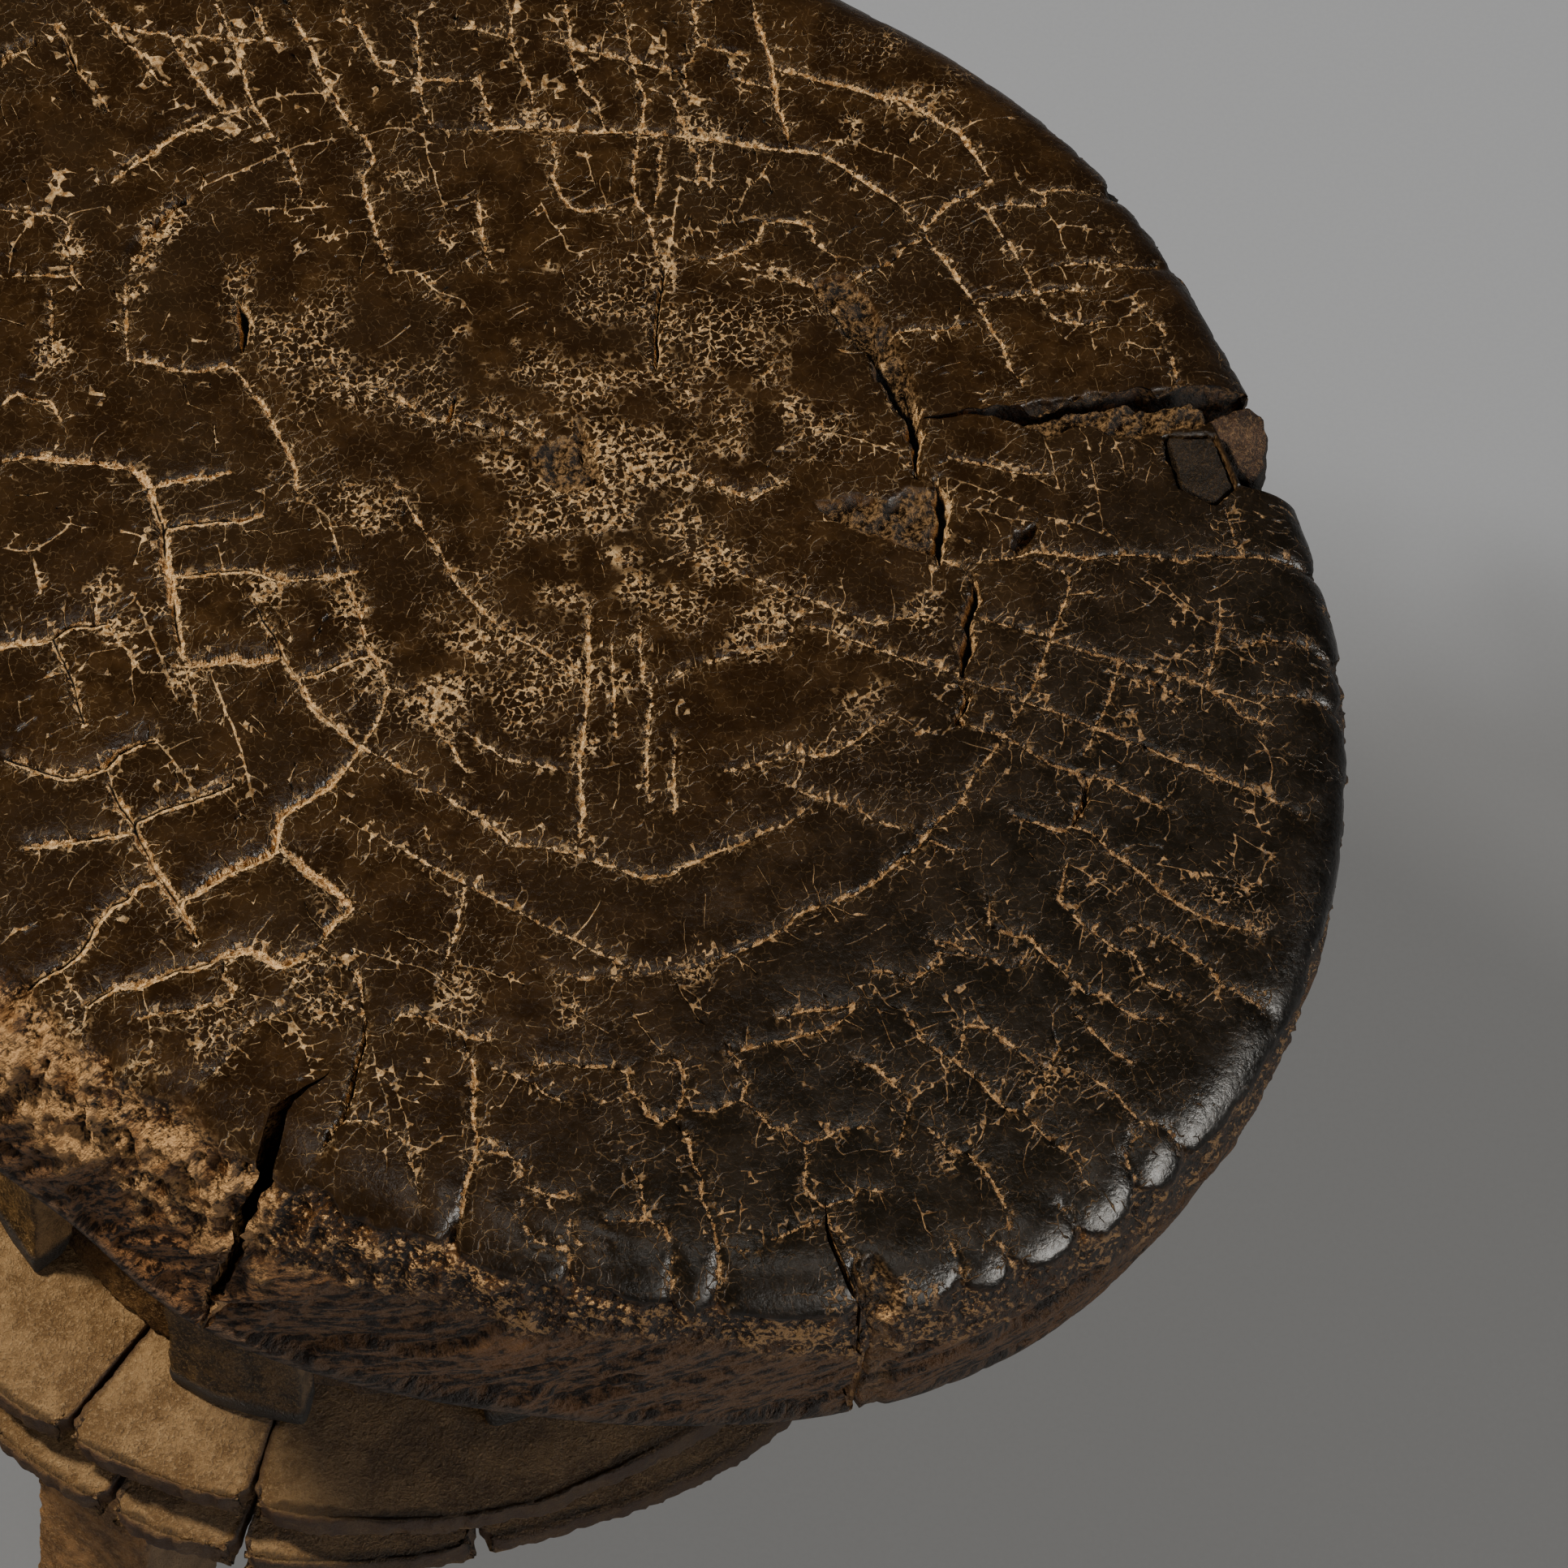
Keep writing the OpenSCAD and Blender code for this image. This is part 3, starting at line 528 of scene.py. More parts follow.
# Dusty places: picture point, radius in millimetres, strength
dusty = [
    (716, 585, 7, 1.5), (748, 631, 6, 1.3), (761, 696, 7, 1.4), (703, 729, 6, 1.2),
    (794, 578, 7, 1.3), (781, 716, 6, 1.3), (892, 565, 6, 0.9), (539, 853, 6, 1.6),
    (951, 761, 6, 1.0), (918, 800, 6, 0.9), (1068, 866, 6, 0.9), (585, 794, 7, 1.0),
    (716, 827, 5, 1.1), (774, 840, 5, 0.9), (722, 918, 4, 1.1), (660, 640, 8, 0.9),
    (610, 560, 8, 0.8), (830, 640, 7, 0.8), (880, 690, 7, 0.8), (197, 285, 3.5, 1.6),
    (185, 320, 3, 1.6), (172, 360, 2.4, 1.5), (210, 268, 3, 1.5), (300, 345, 4, 0.8),
    (320, 400, 7, 0.6), (400, 430, 16, 0.55), (440, 480, 14, 0.5), (500, 450, 12, 0.35),
    (760, 455, 22, 0.6), (860, 450, 22, 0.5), (930, 470, 20, 0.55), (1000, 500, 12, 0.5),
    (700, 500, 18, 0.5), (600, 480, 16, 0.4), (740, 560, 12, 1.0), (790, 560, 12, 0.8),
    (830, 570, 10, 0.8), (700, 620, 16, 0.45), (760, 660, 14, 0.5), (720, 710, 12, 0.75),
    (800, 720, 10, 0.8), (690, 735, 8, 0.8), (840, 745, 8, 0.7), (600, 700, 14, 0.35),
    (550, 850, 8, 1.1), (600, 790, 16, 0.5), (640, 850, 14, 0.5), (540, 880, 5, 1.2),
    (450, 630, 7, 0.8), (330, 725, 4.5, 1.3), (436, 740, 6, 0.9), (460, 820, 6, 1.0),
    (130, 720, 4, 1.1), (140, 775, 4, 1.2), (228, 832, 4, 1.1), (62, 430, 4, 1.2),
    (85, 305, 3.5, 1.0), (660, 150, 5, 1.0), (590, 145, 3.5, 1.0), (858, 163, 4, 1.2),
    (823, 325, 4, 1.1), (820, 345, 3, 1.1), (780, 325, 2.5, 1.0), (675, 333, 3.5, 0.9),
    (618, 345, 3, 0.8), (658, 360, 3, 0.8), (555, 292, 2.5, 1.0), (604, 455, 4, 0.9),
    (553, 368, 3, 0.8), (575, 408, 3, 0.9), (632, 420, 2.5, 0.9), (470, 235, 2, 1.0),
    (480, 215, 2, 0.7), (170, 8, 2, 0.9), (733, 53, 2.5, 0.9), (640, 200, 5, 0.6),
    (500, 218, 4, 0.5), (1125, 125, 7, 1.0), (1145, 75, 8, 0.45), (1120, 40, 10, 0.4),
    (1180, 60, 8, 0.35), (960, 330, 2.5, 1.0), (1048, 150, 3, 1.0), (1015, 440, 8, 0.5),
    (970, 500, 8, 0.7), (1030, 850, 4, 0.6), (1086, 845, 4, 0.9), (1070, 885, 8, 0.4),
    (1145, 755, 4, 0.8), (1042, 780, 3, 0.9), (1040, 800, 2, 0.8), (715, 925, 2, 1.3),
    (725, 830, 4, 1.0), (715, 1045, 4, 0.8), (560, 1230, 6, 0.7), (700, 1245, 3, 0.7),
    (860, 1195, 3.5, 1.0), (1060, 500, 3, 0.3), (1385, 885, 2.5, 0.8), (1398, 1390, 1.5, 0.7),
    (1170, 1430, 3.5, 0.9), (1295, 1330, 5, 0.7), (1160, 1595, 5, 1.0), (1130, 1600, 5, 0.9),
    (1060, 1600, 6, 0.8), (975, 1600, 5, 0.5), (900, 1595, 3.5, 1.0), (1565, 1052, 1.8, 1.0),
    (1532, 1092, 2, 0.8), (1500, 1105, 2, 0.9), (1550, 1148, 3.5, 0.9), (1395, 880, 1.6, 1.0),
    (1640, 735, 3, 1.0), (1320, 1135, 2, 0.5), (330, 1190, 1, 0.5), (235, 980, 2.5, 1.0),
    (372, 1190, 4, 0.8), (400, 1120, 5, 0.6), (400, 1245, 4, 0.8), (250, 1270, 7, 0.7),
    (210, 1270, 5, 0.6), (150, 1340, 10, 0.9), (60, 1290, 10, 0.9),
]
# At the left the cracks are wide and deep, and the cells between them stand up
left_cells = from_picture([
    -400, 560, 120, 600, 260, 560, 330, 640, 440, 700, 470, 850, 430, 930, 360, 1010, 450, 1120,
    330, 1210, 100, 1270, -100, 1220, -500, 1000
])
# Inner border of the front left, where the rim has crumbled
worn_border = from_picture([
    -400, 900, -60, 1180, 17, 1225, 66, 1262, 99, 1282, 133, 1320, 166, 1348, 216, 1372, 262,
    1405, 305, 1430, 335, 1440, 240, 1640, -100, 1560, -700, 1200, -500, 800
])


# Distance between the points of a crack
SAMPLE = 0.45


def jagged(points, wobble, seed):
    """Resamples a line through points and makes it wander as a crack does."""
    steps = np.hypot(*np.diff(points, axis=0).T)
    run = np.concatenate([[0], np.cumsum(steps)])
    at = np.linspace(0, run[-1], max(3, int(run[-1] / SAMPLE) + 1))
    line = np.stack([np.interp(at, run, points[:, k]) for k in (0, 1)], 1)
    fade = np.clip(np.minimum(at, run[-1] - at) / 1.5, 0, 1)
    for k in (0, 1):
        sway = (noise(line[:, 0], line[:, 1], seed + 9.1 * k, 2.6)
                + 0.6 * noise(line[:, 0], line[:, 1], seed + 9.1 * k, 1.1))
        line[:, k] += wobble * sway * fade
    return line, at


def half_width(width, line, at, seed, loose=0.12):
    """Half the width of a crack along its line: it swells and narrows, and tapers at the ends."""
    swell = (1 + 0.5 * noise(line[:, 0], line[:, 1], seed, 3.0)
             + 0.35 * noise(line[:, 0], line[:, 1], seed + 3.3, 0.9))
    end = np.clip(np.minimum(at, at[-1] - at) / (loose * at[-1] + 0.5), 0.25, 1)
    return 0.5 * width * swell * end


class Lines:
    """Sampled crack lines: points, their half widths, and a search tree."""

    def __init__(self):
        self.points, self.half, self.lips = [], [], []

    def add(self, line, half, lip):
        self.points.append(line)
        self.half.append(half)
        self.lips.append(np.full(len(line), lip))

    def close(self):
        self.p = np.concatenate(self.points)
        self.h = np.concatenate(self.half)
        self.lip = np.concatenate(self.lips)
        self.first = np.zeros(len(self.p), bool)
        self.first[np.cumsum([0] + [len(q) for q in self.points[:-1]])] = True
        self.last = np.roll(self.first, -1)
        self.tree = KDTree(len(self.p))
        for i, q in enumerate(self.p.tolist()):
            self.tree.insert((*q, 0), i)
        self.tree.balance()

    def near(self, x, y):
        """Nearest point on the lines: its place, distance, half width and lip."""
        find = self.tree.find
        index = np.array([find((a, b, 0))[1] for a, b in zip(x.tolist(), y.tolist())])
        q = np.stack([x, y], 1)
        best = self.p[index].copy()
        dist = np.hypot(*(q - best).T)
        half = self.h[index].copy()
        for way, stop in ((-1, self.first[index]), (1, self.last[index])):
            other = np.where(stop, index, np.clip(index + way, 0, len(self.p) - 1))
            a, b = self.p[index], self.p[other]
            ab = b - a
            t = np.clip(((q - a) * ab).sum(1) / np.maximum((ab * ab).sum(1), 1e-9), 0, 1)
            c = a + t[:, None] * ab
            d = np.hypot(*(q - c).T)
            closer = d < dist
            best[closer], dist[closer] = c[closer], d[closer]
            half[closer] = (self.h[index] * (1 - t) + self.h[other] * t)[closer]
        return best, dist, half, self.lip[index]


def deepened(x, y):
    """1 among the deep cells at the left, 0 away from them."""
    return smooth(-4, 6, inside(left_cells, x, y))


def wider(line):
    """The cracks at the left are wider than the rest, and those at the front right finer."""
    x, y = line[len(line) // 2, :, None]
    frontal = smooth(0, 150, x - centre[0] - 0.8 * (y - centre[1]))
    return float((1 + 0.4 * deepened(x, y) - 0.3 * frontal)[0])


main, deep, fine = Lines(), Lines(), Lines()
hosts = []
FILLED = 0.8
for n, (width, lines) in enumerate(cracks.items()):
    for m, points in enumerate(lines):
        line, at = jagged(from_picture(points), 0.22, n + 0.37 * m)
        half = half_width(width * FILLED * wider(line), line, at, m)
        (fine if width < 0.5 else main).add(line, half, min(1, width))
        hosts.append(line)
for width, lines in open_cracks.items():
    for m, points in enumerate(lines):
        line, at = jagged(from_picture(points), 0.25, 40 + 0.37 * m)
        half = half_width(width, line, at, m, 0.2)
        deep.add(line, 0.75 * half, 1.0)
        main.add(line, 1.35 * half, 1.0)
        hosts.append(line)

# The part of the seat that the picture cuts off has cracks of the same kind, along the rays
# and the rings
PITH = from_picture([720, 560])[0]
EXTRA_CRACKS = 64
picture = from_picture([0, 0, PICTURE, 0, PICTURE, PICTURE, 0, PICTURE])


def way_out(spot):
    """Direction from the pith to a spot."""
    return math.atan2(spot[1] - PITH[1], spot[0] - PITH[0])


for k in range(EXTRA_CRACKS):
    a = rng.uniform(0, 360)
    middle = math.sqrt(rng.uniform(0.1, 0.85)) * (rim(a) - 12) * ray(a)
    heading = way_out(middle) + (0 if rng.random() < 0.5 else math.pi / 2)
    heading += rng.normal(0, 0.12)
    reach = rng.uniform(8, 26)
    step = np.array([math.cos(heading), math.sin(heading)])
    corners = [middle + step * reach * q for q in (-1, -0.4, 0.3, 1)]
    corners = [point + rng.normal(0, 1.2, 2) for point in corners]
    corners = np.array([
        p * min(1, (rim(math.degrees(math.atan2(p[1], p[0]))) - 9) / np.hypot(*p))
        for p in corners])
    if (inside(picture, *corners.T) > -3).any():
        continue
    line, at = jagged(corners, 0.3, 70 + 0.37 * k)
    width = rng.choice([0.5, 0.8, 1.2])
    main.add(line, half_width(width * FILLED, line, at, k), width)
    hosts.append(line)

# A new twig stops where it meets another line. The lines' places are kept by squares.
SQUARE = 0.9
taken = {}


def squares(path):
    return [tuple(spot) for spot in np.floor(path / SQUARE).astype(int).tolist()]


def clear_part(path, own):
    """How many points of a new twig are clear of every other line."""
    for k, spot in enumerate(squares(path)):
        if taken.get(spot, own) != own or k > 3 and spot in taken:
            return k
    return len(path)


def occupy(path, own):
    for spot in squares(path):
        taken.setdefault(spot, own)


for n, line in enumerate(hosts):
    occupy(line, n)


def wander(start, heading, length, bend, wide, own=-1):
    """Adds a hairline, and returns its points and its headings."""
    count = max(3, int(length / SAMPLE))
    turn = np.cumsum(rng.normal(0, bend, count)) + heading
    path = np.concatenate([[start], start + np.cumsum(
        SAMPLE * np.stack([np.cos(turn), np.sin(turn)], 1), 0)])
    clear = clear_part(path, own)
    if clear < 3:
        return path, turn
    path, turn = path[:clear], turn[:clear - 1]
    occupy(path, own)
    taper = np.linspace(1, 0.3, len(path))
    fine.add(path, 0.5 * wide * taper * rng.uniform(0.6, 1.3, len(path)), 0.25)
    return path, turn


# Twigs along the cracks, and twigs of twigs
TWIG_EVERY = 1.8
for n, line in enumerate(hosts):
    for _ in range(rng.poisson(len(line) * SAMPLE / TWIG_EVERY)):
        k = rng.integers(1, len(line) - 1)
        along = line[k + 1] - line[k - 1]
        heading = math.atan2(along[1], along[0]) + rng.choice([-1, 1]) * rng.normal(1.25, 0.35)
        length = min(11, rng.exponential(2.2) + 1.2)
        path, turn = wander(line[k], heading, length, 0.13, rng.uniform(0.14, 0.34), n)
        if len(turn) > 4 and rng.random() < 0.6:
            j = rng.integers(2, len(turn))
            wander(path[j], turn[j] + rng.choice([-1, 1]) * rng.uniform(0.6, 1.4),
                   rng.exponential(1.5) + 0.6, 0.25, 0.2, n)
# Loose hairlines between them
HAIRS = 1500
spread = rng.uniform(0, 2 * math.pi, HAIRS)
reach = np.sqrt(rng.uniform(0.02, 1, HAIRS))
for a, q in zip(np.degrees(spread), reach):
    spot = q * (rim(a) - 6) * ray(a)
    heading = way_out(spot)
    if rng.random() < 0.25:
        heading += math.pi / 2
    wander(spot, heading + rng.normal(0, 0.3) + (math.pi if rng.random() < 0.5 else 0),
           min(12, rng.exponential(2.4) + 0.8), 0.07, rng.uniform(0.1, 0.24))
# Small groups of parallel hairlines, most of them beside a larger crack
HAIR_GROUPS = 200
for _ in range(HAIR_GROUPS):
    if rng.random() < 0.7:
        line = hosts[rng.integers(len(hosts))]
        spot = line[rng.integers(len(line))] + rng.normal(0, 2.0, 2)
    else:
        a = rng.uniform(0, 360)
        spot = math.sqrt(rng.uniform(0.05, 1)) * (rim(a) - 8) * ray(a)
    heading = way_out(spot) + (math.pi / 2 if rng.random() < 0.65 else 0)
    beside = np.array([-math.sin(heading), math.cos(heading)])
    apart = rng.uniform(0.7, 1.7)
    for k in range(rng.integers(3, 8)):
        start = spot + beside * k * apart + rng.normal(0, 0.8, 2)
        wander(start, heading + rng.normal(0, 0.12), rng.exponential(2.2) + 1.0, 0.1,
               rng.uniform(0.1, 0.26))
for part in (main, deep, fine):
    part.close()


# Where the polish ends on the rounded edge, as a share of the way down, every 15 degrees
polish_end = [0.8, 0.7, 0.7, 0.7, 0.7, 0.7, 0.7, 0.7, 0.7, 0.7, 0.7, 0.6,
              0.4, 0.3, 0.2, 0.2, 0.3, 0.5, 0.62, 0.78, 0.68, 0.78, 0.85, 0.8]
# The side's tool marks run down to the left at this slope, and are this long for each step
MARK_SLOPE, MARK_LONG = 1.3, 1.64
# Angles on the side are turned to lengths with this radius
SIDE_R = 150


def dress(x, y, z, side, cell, fixed, turn):
    """Turns plain seat points into worn ones. side is 0 on the top and 1 on the side.
    Returns the new points, how far each moves, and the values that the material reads."""
    flat = 0 * z
    place, dist, half, lip = main.near(x, y)
    fplace, fdist, fhalf, _ = fine.near(x, y)
    # Points close to a crack are drawn onto it
    move = (side < 0.02) & ~fixed
    snap = move & (dist < 0.55 * cell) & (dist < 4)
    x, y = np.where(snap, place[:, 0], x), np.where(snap, place[:, 1], y)
    dist = np.where(snap, 0, dist)
    fsnap = move & ~snap & (fdist < 0.5 * cell)
    x, y = np.where(fsnap, fplace[:, 0], x), np.where(fsnap, fplace[:, 1], y)
    fdist = np.where(fsnap, 0, fdist)
    _, ddist, dhalf, _ = deep.near(x, y)
    arc = np.radians(turn) * SIDE_R

    crumb = np.zeros(len(x))
    for poly in crumbled:
        d = inside(poly, x, y) + 0.9 * rough(x, y, flat, 3.0, 3, 2.0)
        crumb = np.maximum(crumb, smooth(-0.6, 1.0, d))
    crumb = np.where(side < 0.7, crumb, crumb * 0.4)
    worn = smooth(-3.0, 3.0, inside(worn_border, x, y) + 3.5 * rough(x, y, flat, 9.0, 3, 4.0))
    worn = worn * (1 - smooth(0.5, 1.0, side) * smooth(
        38, 22, z + 9 * rough(arc, flat, flat, 12.0, 3, 18.0)))

    dust = np.zeros(len(x))
    for px, py, radius, strength in dusty:
        c = from_picture([px, py])[0]
        d2 = (x - c[0]) ** 2 + (y - c[1]) ** 2
        dust = np.maximum(dust, strength * np.exp(-d2 / (radius * radius)))
    # On the left a crack's lower slope, which faces the light, gets a wider tan band: partly dust
    # and partly painted light on the lit slope. Its bottom is painted near black in places, as
    # shade
    cells = deepened(x, y)
    shut = 3 * (1 - cells) + 0.7 * np.maximum(0, rough(x, y, flat, 9.0, 2, 12.0))
    lit = smooth(-0.2, 0.6, (0.35 * (x - place[:, 0]) - 0.94 * (y - place[:, 1])) / (dist + 0.1))

    # Heights
    notch = np.exp(-np.maximum(dist, 0) / 1.6) * lip
    below = side - around(polish_end, turn) - 0.12 * rough(arc, z * 0.3, flat, 7.0, 3, 9.0)
    raw = np.where(side > 0.02, smooth(-0.03, 0.06, below + 0.3 * notch), 0.0)
    torn = raw * (1 - smooth(15, 25, THICK - z + 6 * rough(arc, z, flat, 13.0, 3, 10.0)))
    swell = 0.7 * rough(x, y, flat, 34.0, 3, 1.0) + 0.10 * rough(x, y, flat, 5.0, 3, 6.0)
    lip_drop = -(0.08 + 0.6 * lip * (1 + 1.1 * cells)) * np.exp(
        -np.maximum(dist - 0.3 * half, 0) / (1.7 + 0.4 * cells))
    bed = -(0.25 + 0.9 * half) * (1 + 0.5 * cells) * smooth(0.15, -0.25, dist - half)
    fine_drop = -0.10 * np.exp(-fdist / 0.35)
    gash = -3.0 * smooth(0.25, -0.35, ddist - dhalf)
    down = swell * (1 - side) + (lip_drop + bed) * (1 - 0.6 * raw) + fine_drop + gash
    down = down - 1.3 * smooth(0.0, 0.35, side) * (1 - smooth(0.9, 1.0, side)) * notch
    grit = rough(x, y, z, 2.6, 3, 3.0)
    down = down - crumb * (2.2 + 1.9 * grit + 1.2 * rough(x, y, z, 7.0, 2, 8.0))
    pits = ridged(x, y, z, 6.5, 4, 7.0)
    down = down - worn * (3.4 - 4.6 * pits + 0.9 * grit)

    # The side: a torn band under the polish, tool marks, ledges and a smooth lower edge
    along, over = (arc + MARK_SLOPE * z) / MARK_LONG, (z - MARK_SLOPE * arc) / MARK_LONG
    marks = rough(along * 0.13, over, flat, 2.6, 3, 14.0)
    ledge = smooth(-0.05, 0.05, rough(along * 0.3, over, flat, 9.0, 3, 15.0)) - 0.5
    lump = ridged(arc, z, flat, 4.2, 3, 16.0)
    lower = smooth(4.5, 2.0, z + 0.8 * rough(arc, flat, flat, 9.0, 2, 17.0))
    shape = (1.1 * marks + 1.6 * ledge - 0.9) * (1 - torn) + torn * (3.6 * lump - 3.2)
    down = down + raw * (shape * (1 - lower) + lower * 0.5)
    relief = raw * np.where(torn > 0.5, 2 * lump - 1.0, 0.7 * marks + 0.8 * ledge)
    relief = np.maximum(relief, worn * (2.2 * pits - 1.2))
    # The material reads the growth rings and the tool marks as stretched places, in metres
    rings = np.stack([(x - PITH[0]) * 0.8, (y - PITH[1]) * 0.8, z * 0.5], 1) * MM
    strokes = np.stack([along * 0.12, over, 0.3 * along], 1) * MM
    return x, y, down, dict(
        crack=dist - half - 0.9 * cells * lit, hair=fdist - fhalf,
        gash=np.minimum(ddist - dhalf, dist - 0.35 + shut), crumb=crumb, worn=worn, dust=dust,
        raw=raw, torn=torn, relief=relief, lower=lower * raw, rings=rings, strokes=strokes)


def give_values(mesh, values):
    for key, value in values.items():
        value = np.asarray(value, np.float32)
        kind, field = (("FLOAT_VECTOR", "vector") if value.ndim == 2 else ("FLOAT", "value"))
        mesh.attributes.new(key, kind, "POINT").data.foreach_set(field, value.ravel())


def stand_in(name, mesh, wood):
    """Puts a mesh in the scene in the place of a node of the part."""
    mesh.materials.append(wood)
    piece = bpy.data.objects.new(name + "_look", mesh)
    bpy.context.scene.collection.objects.link(piece)
    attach(piece, "root")
    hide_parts(name)


def make(name, points, faces, values):
    """Makes a piece of the seat from points in millimetres and triangles."""
    mesh = bpy.data.meshes.new(name + "_look")
    points = (points - [*centre, 0]) * MM
    mesh.vertices.add(len(points))
    mesh.vertices.foreach_set("co", points.astype(np.float32).ravel())
    mesh.loops.add(faces.size)
    mesh.loops.foreach_set("vertex_index", faces.astype(np.int32).ravel())
    mesh.polygons.add(len(faces))
    mesh.polygons.foreach_set("loop_start", np.arange(0, faces.size, 3, dtype=np.int32))
    mesh.polygons.foreach_set("use_smooth", np.full(len(faces), True))
    mesh.update(calc_edges=True)
    mesh.validate()
    give_values(mesh, values)
    stand_in(name, mesh, seat_wood)


def split_quads(index, low=None):
    """Cuts a grid of quads along the diagonal that follows the low places."""
    a, b = index[:-1, :-1].ravel(), index[1:, :-1].ravel()
    c, d = index[1:, 1:].ravel(), index[:-1, 1:].ravel()
    first = np.full((len(a), 1), True)
    if low is not None:
        first = (low[a] + low[c] <= low[b] + low[d])[:, None]
    one = np.where(first, np.stack([a, b, c], 1), np.stack([a, b, d], 1))
    two = np.where(first, np.stack([a, c, d], 1), np.stack([b, c, d], 1))
    return np.concatenate([one, two])


# Materials
def srgb(r, g, b):
    lin = [c / 255 / 12.92 if c <= 10 else ((c / 255 + 0.055) / 1.055) ** 2.4 for c in (r, g, b)]
    return (*lin, 1.0)


class Graph:
    """Short names for the shader nodes of one material."""

    def __init__(self, name):
        self.made = bpy.data.materials.new(name)
        self.made.use_nodes = True
        self.nodes, self.links = self.made.node_tree.nodes, self.made.node_tree.links
        self.shader = self.nodes["Principled BSDF"]
        self.place = self.nodes.new("ShaderNodeTexCoord").outputs["Object"]

    def put(self, socket, value):
        if isinstance(value, bpy.types.NodeSocket):
            self.links.new(value, socket)
        else:
            socket.default_value = value

    def attribute(self, name, out="Fac"):
        node = self.nodes.new("ShaderNodeAttribute")
        node.attribute_name = name
        return node.outputs[out]

    def part(self, kind, value, k):
        """One channel of a colour or a vector."""
        node = self.nodes.new("ShaderNodeSeparate" + kind)
        self.put(node.inputs[0], value)
        return node.outputs[k]

    def math(self, kind, a, b, clamp=False):
        node = self.nodes.new("ShaderNodeMath")
        node.operation, node.use_clamp = kind, clamp
        self.put(node.inputs[0], a)
        self.put(node.inputs[1], b)
        return node.outputs[0]

    def add(self, a, b):
        return self.math("ADD", a, b)

    def times(self, a, b):
        return self.math("MULTIPLY", a, b)

    def most(self, first, *rest):
        for value in rest:
            first = self.math("MAXIMUM", first, value)
        return first

    def ramp(self, value, low, high, out_low=0.0, out_high=1.0, straight=False):
        node = self.nodes.new("ShaderNodeMapRange")
        node.interpolation_type = "LINEAR" if straight else "SMOOTHSTEP"
        for socket, v in zip(node.inputs[:5], (value, low, high, out_low, out_high)):
            self.put(socket, v)
        return node.outputs[0]

    def mix(self, share, a, b):
        node = self.nodes.new("ShaderNodeMix")
        node.data_type = "RGBA"
        for k, value in ((0, share), (6, a), (7, b)):
            self.put(node.inputs[k], value)
        return node.outputs[2]

    def noise(self, per_metre, detail=3.0, rough_=0.55, at=None, flat=False):
        node = self.nodes.new("ShaderNodeTexNoise")
        node.noise_dimensions = "2D" if flat else "3D"
        for key, value in (("Scale", per_metre), ("Detail", detail), ("Roughness", rough_),
                           ("Vector", at or self.place)):
            self.put(node.inputs[key], value)
        return node.outputs["Fac"]

    def cells(self, per_metre, at, feature="F1", out="Distance", bend=0.0):
        if bend:
            wave = self.nodes.new("ShaderNodeTexNoise")
            wave.noise_dimensions = "2D"
            wave.inputs["Scale"].default_value = per_metre * 0.9
            self.put(wave.inputs["Vector"], at)
            bent = self.nodes.new("ShaderNodeVectorMath")
            bent.operation = "MULTIPLY_ADD"
            self.put(bent.inputs[0], wave.outputs["Color"])
            bent.inputs[1].default_value = (bend * 2,) * 3
            self.put(bent.inputs[2], at)
            at = bent.outputs[0]
        node = self.nodes.new("ShaderNodeTexVoronoi")
        node.voronoi_dimensions = "2D"
        node.feature = feature
        node.inputs["Scale"].default_value = per_metre
        self.put(node.inputs["Vector"], at)
        return node.outputs[out]

    def edges(self, per_metre, at, bend):
        return self.cells(per_metre, at, "DISTANCE_TO_EDGE", bend=bend)

    def finish(self, colour, roughness, specular, height, metres):
        node = self.nodes.new("ShaderNodeBump")
        node.inputs["Distance"].default_value = metres
        self.put(node.inputs["Height"], height)
        for key, value in (("Base Color", colour), ("Roughness", roughness),
                           ("Normal", node.outputs["Normal"]), ("Specular IOR Level", specular)):
            self.put(self.shader.inputs[key], value)
        return self.made


